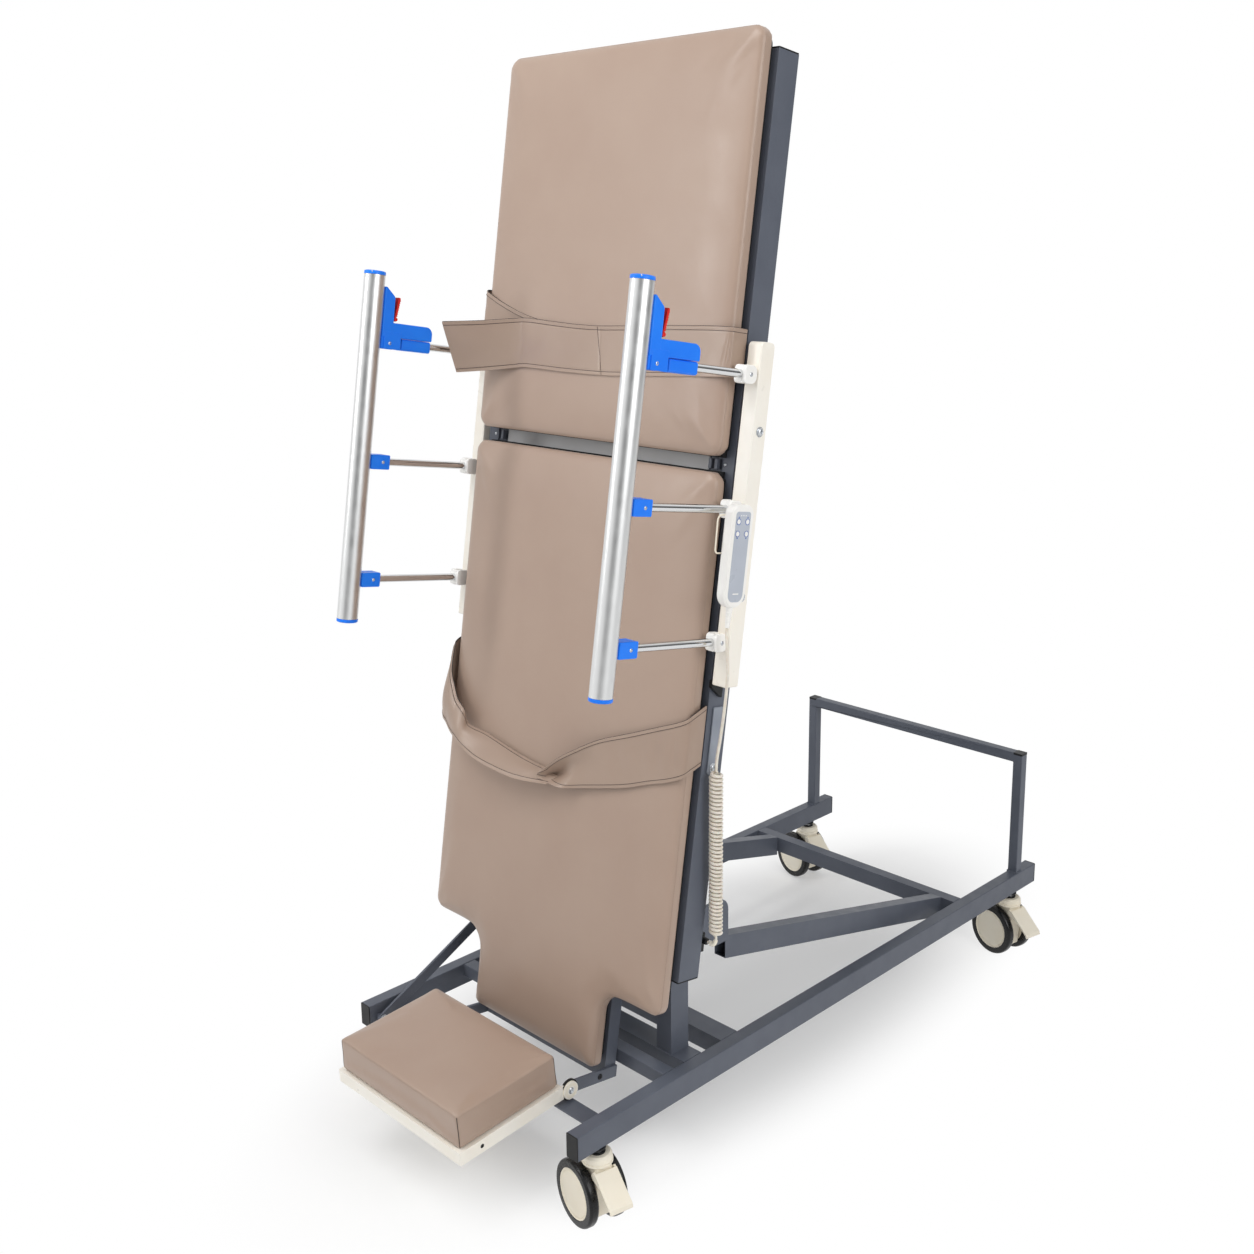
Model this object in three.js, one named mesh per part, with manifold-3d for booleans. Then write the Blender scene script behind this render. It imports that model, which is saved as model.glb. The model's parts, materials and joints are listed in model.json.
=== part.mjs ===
// Physiotherapy tilt table: a wheeled steel base carries a two-part padded bed on two posts.
// The bed stands nearly upright at rest and tilts back onto the rear hoop.
// Millimetres. X runs across the table, Y from the foot end to the head end, Z up.
// "Right" is +X. Y is counted from the front ends of the base rails until the last lines,
// which put the origin on the floor under the middle of the whole table.
import * as THREE from 'three';
import { mergeVertices } from 'three/addons/utils/BufferGeometryUtils.js';
import Module from 'manifold-3d';

const wasm = await Module();
wasm.setup();

// Fits and shares used all over
const seatGap = 0.3;
const cutOverrun = 5;
const tubeWall = 2;

// Base frame
const baseWidth = 685;
const baseLength = 1620;
const railWide = 30;
const railTall = 50;
const casterHeight = 167;
const frontBarFromFront = 85;
const frontBarDeep = 40;
const frontBarThick = 6;
const frontTubeFromFront = 257;
const frontTubeDeep = 30;
const frontTubeTall = 30;
const postFromFront = 316;
const postDeep = 50;
const postWide = 40;
const postFromRail = 35;
const postTubeTall = 30;
const postPlateThick = 5;
const middleTubeFromFront = 426;
const middleTubeDeep = 50;
const middleTubeTall = 40;
const rearTubeFromFront = 1286;
const rearTubeDeep = 30;
const rearTubeTall = 40;
const braceWide = 30;
const braceTall = 51;
const braceFromPostSide = 3;
const braceSlope = 0.2457;
const braceFrontFromFront = 482;
const bracketThick = 9;
const bracketLength = 122;
const bracketTop = 284;
const bracketTall = 72;
const bracketFootLength = 34;
const bracketFootDrop = 24;
const bracketCorner = 26;
const hoopTube = 25;
const hoopHeight = 320;
const hoopFromFront = 1536;
const hoopInset = 5;

// Flat stay from the left post down to the left rail
const stayWide = 25;
const stayThick = 6;
const stayFromRail = 12.5;
const stayTopAlong = 330;
const stayTopHeight = 122;
const stayBottomAlong = 22;
const stayBottomDrop = 30;
const stayStudDiameter = 14;

// Tilt pivot on top of the posts
const tiltAngle = THREE.MathUtils.degToRad(81);
const restGap = 1;
const pinDiameter = 12;
const pinHoleDiameter = 12.8;
const earThick = 8;
const earRadius = 16;
const cheekThick = 6;
const cheekGap = 2;
const postDropBelowPin = 25;
const pivotAlongBed = 113;
const pivotBehindBed = 66;

// Bed frame, measured along the bed from the lower end of its side tubes
const bedFrameWidth = 704;
const bedLength = 1742;
const sideTubeWide = 30;
const sideTubeDeep = 57;
const footTubeAlong = 98;
const crossTubeTall = 30;
const crossTubeDeep = 30;
const footTubeBehind = 6;
const plateTubeAlong = 977;
const headTubeBelowTop = 52;
const headTubeBehind = 8;
const liftTubeAlong = 585;
const liftTubeBehind = 12;

// Gap plate between the two pads
const gapPlateWidth = 580;
const gapPlateAlong = 955;
const gapPlateLength = 74;
const gapPlateThick = 3;

// Pads
const padWidth = 700;
const padThick = 38;
const padBoardThick = 11;
const padBoardInset = 14;
const padEdgeRadius = 9;
const padCornerRadius = 26;
const upperPadAlong = 1003;
const upperPadPastBed = 38;
const lowerPadTop = 981;
const lowerPadShoulder = -70;
const lowerPadBottom = -235;
const tongueWidth = 380;
const tongueFillet = 46;
const tongueCornerRadius = 12;

// Frame under the tongue of the lower pad
const tongueTubeWide = 25;
const tongueTubeDeep = 30;
const tongueFrameWidth = 368;
const tongueFrameBottom = -262;
const tongueFootTall = 24;
const armThick = 6;
const armTall = 24;

// Footboard
const footboardPitch = THREE.MathUtils.degToRad(4);
const hingeAlongBed = -251;
const hingeBeforeBed = 105;
const hingeDiscDiameter = 36;
const hingeDiscThick = 5;
const hingePinDiameter = 10;
const hingeHoleDiameter = 10.8;
const trayWidth = 390;
const trayLength = 255;
const trayLip = 27;
const traySheet = 3;
const trayBehindHinge = 17;
const trayDropBelowHinge = 12;
const earSheet = 4;
const footPadThick = 74;
const footPadWidth = 380;
const footPadSetback = 4;
const trayHoleDiameter = 9;
const trayHoleFromFront = 52;

// Side housings and folding side rails
const housingGap = 10;
const housingWide = 33;
const housingDeep = 37;
const housingProud = 9;
const housingAlong = 585;
const housingLength = 636;
const housingBoltDiameter = 12;
const housingBoltHeadDiameter = 19;
const housingBoltHeadThick = 5;
const housingBoltAlongs = [755, 1059];
const rodDiameter = 16;
const rodAlongs = [670, 915, 1160];
const rodPivotBefore = 27;
const lugThick = 8;
const lugRadius = 10;
const clampWide = 27;
const clampRadius = 17;
const clampFront = 17;
const clampSlotGap = 1;
const clampSlotDeep = 12;
const clampPinDiameter = 8;
const clampPinHole = 8.8;
const sideRailDiameter = 44;
const sideRailWall = 2.5;
const sideRailBefore = 313;
const sideRailAlong = 580;
const sideRailLength = 720;
const socketPivotBefore = 266;
const socketWide = 30;
const socketTall = 30;
const socketReach = 17;
const socketCheek = 4.5;
const socketWeb = 7;
const eyeRadius = 9;
const eyeWide = 18;
const eyePinDiameter = 6;
const eyePinHole = 6.8;

// Blue latch at the upper rod, its red lever and the sleeve on the rod
const latchWide = 30;
const latchLength = 115;
const latchDeep = 23;
const latchArmReach = 123;
const latchArmTop = 40;
const latchCheekDrop = 14;
const sleeveReachFromPivot = 24;
const sleeveEndSetback = 1;
const sleeveHalfTall = 13;
const sleeveTopAbove = 10;
const leverLength = 48;
const leverThick = 6;
const leverWide = 18;
const leverAlong = 44;
const leverPinDiameter = 4;
const leverPocketDeep = 9;
const leverTipGap = 2;

// Handset, its hook peg, the curly cord and the box that it plugs into
const handsetWide = 60;
const handsetThick = 20;
const handsetLength = 187;
const handsetBelowPeg = 143;
const handsetBefore = 44;
const handsetFromHousing = 9;
const handsetTopRadius = 17;
const handsetBottomRadius = 27;
const handsetEdge = 3;
const pegDiameter = 8;
const pegLength = 22;
const pegAlong = 884;
const handsetAlong = pegAlong - handsetBelowPeg;
const hookWide = 8;
const hookThick = 3;
const hookLegBelow = 26;
const hookClearance = 0.6;
const buttonDiameter = 9;
const buttonTravel = 1;
const buttonProud = 1.8;
const buttonPocket = 3.5;
const buttonPitch = 24;
const buttonRowPitch = 22;
const buttonTopRowDown = 30;
const reliefTopDiameter = 13;
const reliefEndDiameter = 8.5;
const reliefLength = 38;
const cordDiameter = 6;
const coilDiameter = 28;
const coilLength = 336;
const socketAlong = 40;
const socketLength = 40;
const socketBlockWide = 18;
const socketDeep = 25;
const socketFromOuterFace = 14;
const socketPinDiameter = 14;
const socketPinLength = 16;
const socketPinAlong = 68;
const socketPinBehind = 72;

// Straps and the plate that clamps the knee strap
const strapThick = 4;
const strapClear = 0.8;
const chestStrapWide = 100;
const chestStrapAlong = 1186;
const kneeStrapWide = 122;
const kneeEndAlong = 474;
const kneeSag = 118;
const kneeBulge = 22;
const plateWide = 26;
const plateLength = 130;
const plateThick = 3;
const plateAlong = 408;
const plateBehind = 14;
const plateBoltDiameter = 14;
const plateBoltThick = 4;

// Actuator
const actuatorFootHeight = 40;
const actuatorBodyDiameter = 56;
const actuatorBodyLength = 393;
const actuatorFootReach = 32;
const motorLength = 120;
const motorDiameter = 60;
const motorOffset = 62;
const actuatorRodDiameter = 20;
const actuatorRodGap = 0.5;
const actuatorRodLength = 346;
const actuatorEyeWide = 20;
const actuatorEyeRadius = 15;
const liftPinBehind = 28;
const liftPlateSpread = 3;
const liftPlateThick = 6;
const liftPlateHalfTall = 18;
const actuatorRodEndGap = 4;

// Casters
const wheelDiameter = 130;
const wheelTread = 20;
const wheelGap = 44;
const wheelDiscDiameter = 98;
const wheelDiscInset = 2;
const tyreRound = 5;
const axleDiameter = 12;
const axleHoleDiameter = 12.8;
const casterTrail = 22;
const casterTurn = THREE.MathUtils.degToRad(-12);
const frontCasterFromFront = 62;
const rearCasterFromFront = 1525;
const stemDiameter = 22;
const stemLength = 12;
const domeDiameter = 60;
const domeTall = 20;
const domeLip = 6;
const forkBodyThick = 38;
const forkBossDiameter = 76;
const pedalSlope = THREE.MathUtils.degToRad(40);
const pedalPinOut = 22;
const pedalPinUnder = 13;
const pedalPin = 4;
const pedalPinHole = 4.8;
const pedalCheekThick = 5;
const pedalCheekGap = 0.5;
const pedalCheekRadius = 5;
const pedalLength = 72;
const pedalThick = 5;
const pedalOverPin = 8.5;
const toePlateLength = 76;
const toePlateThick = 6;

// Smoothness of round pieces, in sides to a full turn
const fineSides = 24;
const roundSides = 16;
const smallSides = 8;
const arcSteps = 3;
const padArcSteps = 2;
const cordSides = 8;

// Finishes
const finishes = {
  darkPaint: [0x4b4f57, 0.45, 0.35],
  creamPaint: [0xf2ecdc, 0.45, 0.05],
  creamPlastic: [0xf3eee3, 0.5, 0],
  leatherette: [0xb09d90, 0.5, 0],
  aluminium: [0xe3e4e5, 0.35, 0.9],
  chrome: [0xd6d4d0, 0.12, 1],
  bluePlastic: [0x2270f4, 0.45, 0],
  redPlastic: [0xdc1c1a, 0.45, 0],
  blackPlastic: [0x1c1d1f, 0.5, 0],
  greyPlate: [0x808183, 0.5, 0.3],
  steelPlate: [0x6c717a, 0.4, 0.6],
  curlyCord: [0xe9dfd2, 0.55, 0],
  tyre: [0x17181a, 0.6, 0],
};

function finish(kind) {
  const [color, roughness, metalness] = finishes[kind];
  return new THREE.MeshStandardMaterial({ color, roughness, metalness });
}

// A closed three.js geometry as a solid for cutting and joining
function solid(geometry) {
  const bare = geometry.clone();
  bare.deleteAttribute('normal');
  bare.deleteAttribute('uv');
  const merged = mergeVertices(bare);
  return new wasm.Manifold(new wasm.Mesh({
    numProp: 3,
    vertProperties: new Float32Array(merged.attributes.position.array),
    triVerts: new Uint32Array(merged.index.array),
  }));
}

function geometryOf(shape) {
  const mesh = shape.getMesh();
  const geometry = new THREE.BufferGeometry();
  geometry.setAttribute('position', new THREE.BufferAttribute(mesh.vertProperties, 3));
  geometry.setIndex(new THREE.BufferAttribute(mesh.triVerts, 1));
  geometry.computeVertexNormals();
  return geometry;
}

function join(...shapes) {
  return shapes.reduce((sum, shape) => sum.add(shape));
}

function cut(shape, ...tools) {
  return tools.reduce((rest, tool) => rest.subtract(tool), shape);
}

// A box between two limits on each axis
function block([x0, x1], [y0, y1], [z0, z1]) {
  const geometry = new THREE.BoxGeometry(x1 - x0, y1 - y0, z1 - z0);
  geometry.translate((x0 + x1) / 2, (y0 + y1) / 2, (z0 + z1) / 2);
  return solid(geometry);
}

// A round bar along X, Y or Z, between two limits on that axis
function bar(axis, diameter, [low, high], centre, sides = roundSides, endDiameter = diameter) {
  const geometry = new THREE.CylinderGeometry(endDiameter / 2, diameter / 2, high - low, sides);
  geometry.translate(0, (low + high) / 2, 0);
  if (axis === 'x') geometry.rotateZ(-Math.PI / 2);
  if (axis === 'z') geometry.rotateX(Math.PI / 2);
  geometry.translate(...centre);
  return solid(geometry);
}

// A rectangular tube open at both ends along the named axis
function openTube(axis, x, y, z, wall = tubeWall) {
  const outer = block(x, y, z);
  const shrink = ([low, high], name) => (
    name === axis ? [low - cutOverrun, high + cutOverrun] : [low + wall, high - wall]);
  return cut(outer, block(shrink(x, 'x'), shrink(y, 'y'), shrink(z, 'z')));
}

// An outline in the Y and Z plane, given thickness along X
function slabAcross(outline, [x0, x1]) {
  const geometry = new THREE.ExtrudeGeometry(
    outline, { depth: x1 - x0, bevelEnabled: false, curveSegments: arcSteps });
  geometry.rotateY(Math.PI / 2);
  geometry.rotateX(Math.PI / 2);
  geometry.translate(x0, 0, 0);
  return solid(geometry);
}

function mesh(name, shape, kind, parent) {
  const geometry = shape.isBufferGeometry ? shape : geometryOf(shape);
  const piece = new THREE.Mesh(geometry, finish(kind));
  piece.name = name;
  parent.add(piece);
  return piece;
}

const sides = [['right', 1], ['left', -1]];

// The two limits of a piece that starts at one distance from the middle and ends at another
function onSide(sign, near, far) {
  return sign > 0 ? [near, far] : [-far, -near];
}

const table = new THREE.Group();
table.name = 'tilt_table';

// Base frame
const railTop = casterHeight + railTall;
const railOuter = baseWidth / 2;
const railInner = railOuter - railWide;
const betweenRails = [-railInner, railInner];
const postOuter = railInner - postFromRail;
const postInner = postOuter - postWide;
const postBack = postFromFront + postDeep;
const postCentre = postFromFront + postDeep / 2;
const pivotHeight = railTop + hoopHeight + restGap - pivotBehindBed + sideTubeDeep;
const postTop = pivotHeight - postDropBelowPin;
const earCentre = postInner + postWide / 2;

for (const [side, sign] of sides) {
  const rail = openTube('y', onSide(sign, railInner, railOuter), [0, baseLength], [casterHeight, railTop]);
  mesh(`rail_${side}`, rail, 'darkPaint', table);
}

const frontBar = block(
  betweenRails,
  [frontBarFromFront, frontBarFromFront + frontBarDeep],
  [casterHeight, casterHeight + frontBarThick]);
mesh('front_cross_bar', frontBar, 'darkPaint', table);

const frontTube = openTube(
  'x', betweenRails,
  [frontTubeFromFront, frontTubeFromFront + frontTubeDeep],
  [railTop - frontTubeTall, railTop]);
mesh('cross_tube_front', frontTube, 'darkPaint', table);

// Outline of a plate with a round end: centre of the round, and the straight foot below it
function earOutline(centreY, centreZ, radius, halfFoot, footZ) {
  const shape = new THREE.Shape();
  const up = centreZ > footZ;
  shape.moveTo(centreY - halfFoot, footZ);
  shape.lineTo(centreY - radius, centreZ);
  shape.absarc(centreY, centreZ, radius, Math.PI, 0, up);
  shape.lineTo(centreY + halfFoot, footZ);
  shape.closePath();
  return shape;
}

// slabAcross reads the outline's first coordinate as Y and its second as Z
function posts() {
  const tubeX = betweenRails;
  let frame = openTube('x', tubeX, [postFromFront, postBack], [railTop - postTubeTall, railTop]);
  for (const [, sign] of sides) {
    const x = onSide(sign, postInner, postOuter);
    frame = join(frame, block(x, [postFromFront, postBack], [railTop - tubeWall / 2, postTop]));
    frame = cut(frame, block(
      [x[0] + tubeWall, x[1] - tubeWall],
      [postFromFront + tubeWall, postBack - tubeWall],
      [railTop - tubeWall - cutOverrun, postTop - postPlateThick]));
    const innerCheek = earCentre - earThick / 2 - cheekGap - cheekThick;
    const outerCheek = earCentre + earThick / 2 + cheekGap;
    const outline = earOutline(
      postCentre, pivotHeight, earRadius, postDeep / 2 - tubeWall, postTop - tubeWall);
    for (const start of [innerCheek, outerCheek]) {
      frame = join(frame, slabAcross(outline, onSide(sign, start, start + cheekThick)));
    }
    const pinSpan = onSide(sign, innerCheek, outerCheek + cheekThick);
    frame = join(frame, bar('x', pinDiameter, pinSpan, [0, postCentre, pivotHeight]));
  }
  return frame;
}
mesh('post_frame', posts(), 'darkPaint', table);

const middleTubeCentre = middleTubeFromFront + middleTubeDeep / 2;
const actuatorFoot = [0, middleTubeCentre, railTop + actuatorFootHeight];
const bracketInner = actuatorEyeWide / 2 + liftPlateSpread;

function middleTube() {
  const y = [middleTubeFromFront, middleTubeFromFront + middleTubeDeep];
  let tube = openTube('x', betweenRails, y, [railTop - middleTubeTall, railTop]);
  const halfFoot = middleTubeDeep / 2 - tubeWall;
  const outline = earOutline(
    middleTubeCentre, actuatorFoot[2], actuatorEyeRadius, halfFoot, railTop - tubeWall / 2);
  for (const [, sign] of sides) {
    tube = join(tube, slabAcross(outline, onSide(sign, bracketInner, bracketInner + liftPlateThick)));
  }
  const reach = bracketInner + liftPlateThick;
  return join(tube, bar('x', pinDiameter, [-reach, reach], [0, actuatorFoot[1], actuatorFoot[2]]));
}
mesh('cross_tube_mid', middleTube(), 'darkPaint', table);

// The rear cross tube, the braces that climb from it, and the brackets that tie them to the posts
function braceFrame() {
  const rearFront = rearTubeFromFront;
  const rearY = [rearFront, rearFront + rearTubeDeep];
  let frame = openTube('x', betweenRails, rearY, [railTop - rearTubeTall, railTop]);
  const braceOuter = postOuter - braceFromPostSide;
  const braceInner = braceOuter - braceWide;
  const topAt = (y) => railTop + (rearFront - y) * braceSlope;
  const profile = (inset, front, back) => {
    const shape = new THREE.Shape();
    shape.moveTo(front, topAt(front) - braceTall + inset);
    shape.lineTo(back, topAt(back) - braceTall + inset);
    shape.lineTo(back, topAt(back) - inset);
    shape.lineTo(front, topAt(front) - inset);
    shape.closePath();
    return shape;
  };
  const bracketBack = postBack + bracketLength;
  const low = railTop + bracketTop - bracketTall;
  const high = railTop + bracketTop;
  const bracket = new THREE.Shape();
  bracket.moveTo(postBack, low);
  bracket.lineTo(bracketBack - bracketFootLength - bracketFootDrop, low);
  bracket.lineTo(bracketBack - bracketFootLength, low - bracketFootDrop);
  bracket.lineTo(bracketBack, low - bracketFootDrop);
  bracket.absarc(bracketBack - bracketCorner, high - bracketCorner, bracketCorner, 0, Math.PI / 2, false);
  bracket.lineTo(postBack, high);
  bracket.closePath();
  for (const [, sign] of sides) {
    const outer = slabAcross(
      profile(0, braceFrontFromFront, rearFront + tubeWall / 2), onSide(sign, braceInner, braceOuter));
    const bore = slabAcross(
      profile(tubeWall, braceFrontFromFront - cutOverrun, rearFront - tubeWall),
      onSide(sign, braceInner + tubeWall, braceOuter - tubeWall));
    const plate = slabAcross(bracket, onSide(sign, postOuter - bracketThick, postOuter));
    frame = join(frame, cut(outer, bore), plate);
  }
  return frame;
}
mesh('brace_frame', braceFrame(), 'darkPaint', table);

function hoop() {
  const outer = railOuter - hoopInset;
  const inner = outer - hoopTube;
  const y = [hoopFromFront, hoopFromFront + hoopTube];
  const top = railTop + hoopHeight;
  const boreY = [y[0] + tubeWall, y[1] - tubeWall];
  let shape = block([-outer, outer], y, [top - hoopTube, top]);
  for (const [, sign] of sides) shape = join(shape, block(onSide(sign, inner, outer), y, [railTop, top]));
  const boreReach = outer - tubeWall;
  shape = cut(shape, block([-boreReach, boreReach], boreY, [top - hoopTube + tubeWall, top - tubeWall]));
  for (const [, sign] of sides) {
    const boreX = onSide(sign, inner + tubeWall, outer - tubeWall);
    shape = cut(shape, block(boreX, boreY, [railTop - cutOverrun, top - tubeWall]));
  }
  return shape;
}
mesh('rear_hoop', hoop(), 'darkPaint', table);

// Flat bar with a spacer stud at each end, between the left rail and the left post
function postStay() {
  const outer = -(railInner - stayFromRail);
  const inner = outer + stayThick;
  const top = new THREE.Vector2(stayTopAlong, railTop + stayTopHeight);
  const bottom = new THREE.Vector2(stayBottomAlong, railTop - stayBottomDrop);
  const along = top.clone().sub(bottom).normalize();
  const across = new THREE.Vector2(-along.y, along.x).multiplyScalar(stayWide / 2);
  const angle = Math.atan2(along.y, along.x);
  const shape = new THREE.Shape();
  shape.moveTo(bottom.x + across.x, bottom.y + across.y);
  shape.absarc(bottom.x, bottom.y, stayWide / 2, angle + Math.PI / 2, angle + 3 * Math.PI / 2, false);
  shape.absarc(top.x, top.y, stayWide / 2, angle - Math.PI / 2, angle + Math.PI / 2, false);
  shape.closePath();
  const flat = slabAcross(shape, [outer, inner]);
  const toRail = bar('x', stayStudDiameter, [-railInner, inner], [0, bottom.x, bottom.y], smallSides);
  const toPost = bar('x', stayStudDiameter, [outer, -postOuter], [0, top.x, top.y], smallSides);
  return join(flat, toRail, toPost);
}
mesh('post_stay', postStay(), 'darkPaint', table);

// Casters: each caster group turns about its stem, and its wheels trail the stem
const wheelRadius = wheelDiameter / 2;

function wheelPair() {
  const inner = wheelGap / 2;
  const outer = inner + wheelTread;
  const disc = wheelDiscDiameter / 2;
  const half = [
    [0, outer - wheelDiscInset],
    [disc, outer - wheelDiscInset],
    [disc, outer],
    [wheelRadius - tyreRound, outer],
    [wheelRadius, outer - tyreRound],
    [wheelRadius, inner],
    [axleDiameter / 2, inner],
  ];
  const lower = half.map(([r, y]) => new THREE.Vector2(r, -y));
  const upper = half.map(([r, y]) => new THREE.Vector2(r, y)).reverse();
  const geometry = new THREE.LatheGeometry([...lower, ...upper], fineSides);
  geometry.translate(-casterTrail, 0, wheelRadius);
  return solid(geometry);
}

// A solid turned about the Z axis from radius and height pairs
function turned(pairs, sideCount = roundSides) {
  const geometry = new THREE.LatheGeometry(pairs.map(([r, z]) => new THREE.Vector2(r, z)), sideCount);
  geometry.rotateX(Math.PI / 2);
  return solid(geometry);
}

const domeTop = casterHeight - stemLength;
const domeBottom = domeTop - domeTall;
const pedalPivot = [pedalPinOut, 0, domeBottom - pedalPinUnder];
const pedalHalfWide = forkBodyThick / 2 + pedalCheekGap + pedalCheekThick;

// An outline in the X and Z plane, given thickness across Y about the middle
function slabAlong(outline, thick) {
  const geometry = new THREE.ExtrudeGeometry(
    outline, { depth: thick, bevelEnabled: false, curveSegments: arcSteps });
  geometry.translate(0, 0, -thick / 2);
  geometry.rotateX(Math.PI / 2);
  return solid(geometry);
}

function fork() {
  const stem = bar('z', stemDiameter, [domeTop - domeLip, casterHeight], [0, 0, 0]);
  const dome = turned([
    [0, domeBottom],
    [domeDiameter / 2, domeBottom],
    [domeDiameter / 2, domeTop - domeLip],
    [domeDiameter / 2 - domeLip, domeTop],
    [stemDiameter / 2 + domeLip, domeTop],
    [0, domeTop - domeLip / 2],
  ]);
  const boss = forkBossDiameter / 2;
  const arm = new THREE.Shape();
  arm.moveTo(-domeDiameter / 2 + domeLip, domeBottom + domeLip);
  arm.lineTo(-casterTrail - boss, wheelRadius);
  arm.absarc(-casterTrail, wheelRadius, boss, Math.PI, 2 * Math.PI, false);
  arm.lineTo(pedalPivot[0] + pedalCheekRadius, pedalPivot[2]);
  arm.absarc(pedalPivot[0], pedalPivot[2], pedalCheekRadius, 0, Math.PI / 2, false);
  arm.lineTo(domeDiameter / 2 - 2 * domeLip, domeBottom + domeLip);
  arm.closePath();
  const toePlate = block(
    [-toePlateLength, 0],
    [-forkBodyThick / 2, forkBodyThick / 2],
    [domeBottom + tubeWall, domeBottom + tubeWall + toePlateThick]);
  const pin = bar('y', pedalPin, [-pedalHalfWide, pedalHalfWide], pedalPivot, smallSides);
  const hole = bar('y', axleHoleDiameter, [-wheelGap, wheelGap], [-casterTrail, 0, wheelRadius]);
  return cut(join(stem, dome, slabAlong(arm, forkBodyThick), toePlate, pin), hole);
}

// The brake pedal: a plate that slopes down and out, with a cheek each side of the fork on its pin
function pedal() {
  const plate = block(
    [0, pedalLength],
    [-pedalHalfWide, pedalHalfWide],
    [pedalOverPin - pedalThick / 2, pedalOverPin + pedalThick / 2]);
  const cheek = new THREE.Shape();
  cheek.moveTo(-pedalCheekRadius, 0);
  cheek.absarc(0, 0, pedalCheekRadius, Math.PI, 2 * Math.PI, false);
  cheek.lineTo(3 * pedalCheekRadius, pedalOverPin);
  cheek.lineTo(0, pedalOverPin);
  cheek.closePath();
  const inside = block(
    [-pedalLength, pedalLength],
    [-forkBodyThick / 2 - pedalCheekGap, forkBodyThick / 2 + pedalCheekGap],
    [-pedalOverPin, pedalOverPin - pedalThick / 2]);
  const hole = bar('y', pedalPinHole, [-2 * pedalHalfWide, 2 * pedalHalfWide], [0, 0, 0], smallSides);
  const geometry = geometryOf(cut(join(plate, slabAlong(cheek, 2 * pedalHalfWide)), inside, hole));
  geometry.rotateY(pedalSlope);
  geometry.translate(...pedalPivot);
  return solid(geometry);
}

const casterPlaces = [
  ['front_right', 1, frontCasterFromFront],
  ['front_left', -1, frontCasterFromFront],
  ['rear_right', 1, rearCasterFromFront],
  ['rear_left', -1, rearCasterFromFront],
];
const stemX = railInner + railWide / 2;
for (const [corner, sign, along] of casterPlaces) {
  const caster = new THREE.Group();
  caster.position.set(sign * stemX, along, 0);
  caster.rotation.z = casterTurn;
  mesh(`caster_fork_${corner}`, fork(), 'creamPlastic', caster);
  mesh(`caster_wheel_${corner}`, wheelPair(), 'tyre', caster);
  mesh(`caster_pedal_${corner}`, pedal(), 'creamPlastic', caster);
  table.add(caster);
}

// The bed's own frame: x across, y along the bed towards the head, z out of the padded face
const bed = new THREE.Group();
const pivotInBed = new THREE.Vector3(0, pivotAlongBed, -pivotBehindBed);
const bedTurn = new THREE.Quaternion().setFromAxisAngle(new THREE.Vector3(1, 0, 0), tiltAngle);
const pivotInTable = new THREE.Vector3(0, postCentre, pivotHeight);
bed.quaternion.copy(bedTurn);
bed.position.copy(pivotInTable).sub(pivotInBed.clone().applyQuaternion(bedTurn));
table.add(bed);

const bedOuter = bedFrameWidth / 2;
const bedInner = bedOuter - sideTubeWide;
const liftPin = [0, liftTubeAlong + crossTubeTall / 2, -(liftTubeBehind + crossTubeDeep + liftPinBehind)];

// Ladder of two side tubes and four cross tubes, with the pivot ears and the actuator's clevis
function bedFrame() {
  const tubeZ = [-sideTubeDeep, 0];
  const half = tubeWall / 2;
  const frame = [];
  const bores = [];
  const addCross = (along, behind) => {
    const y = [along, along + crossTubeTall];
    const z = [-behind - crossTubeDeep, -behind];
    frame.push(block([-bedInner - half, bedInner + half], y, z));
    bores.push(block(
      [-bedInner - 2 * tubeWall, bedInner + 2 * tubeWall],
      [y[0] + tubeWall, y[1] - tubeWall],
      [z[0] + tubeWall, z[1] - tubeWall]));
  };
  for (const [, sign] of sides) {
    frame.push(openTube('y', onSide(sign, bedInner, bedOuter), [0, bedLength], tubeZ));
    const earFoot = -footTubeBehind - crossTubeDeep + half;
    const ear = earOutline(pivotAlongBed, -pivotBehindBed, earRadius, crossTubeTall / 2 - half, earFoot);
    const earX = onSide(sign, earCentre - earThick / 2, earCentre + earThick / 2);
    const holeX = [earX[0] - cutOverrun, earX[1] + cutOverrun];
    const hole = bar('x', pinHoleDiameter, holeX, [0, pivotAlongBed, -pivotBehindBed]);
    frame.push(cut(slabAcross(ear, earX), hole));
    const clevis = block(
      onSide(sign, bracketInner, bracketInner + liftPlateThick),
      [liftPin[1] - liftPlateHalfTall, liftPin[1] + liftPlateHalfTall],
      [liftPin[2] - liftPlateHalfTall, -liftTubeBehind - crossTubeDeep + half]);
    frame.push(clevis);
  }
  addCross(footTubeAlong, footTubeBehind);
  addCross(liftTubeAlong, liftTubeBehind);
  addCross(plateTubeAlong, gapPlateThick + 2 * seatGap);
  addCross(bedLength - headTubeBelowTop, headTubeBehind);
  return cut(join(...frame), ...bores);
}
mesh('bed_frame', bedFrame(), 'darkPaint', bed);

const gapPlate = block(
  [-gapPlateWidth / 2, gapPlateWidth / 2],
  [gapPlateAlong, gapPlateAlong + gapPlateLength],
  [-gapPlateThick - seatGap, -seatGap]);
mesh('gap_plate', gapPlate, 'greyPlate', bed);

// U frame under the tongue, with an arm on each side that reaches forward to the footboard hinge
const tongueOuter = tongueFrameWidth / 2;
const armOuter = tongueOuter + armThick;

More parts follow.
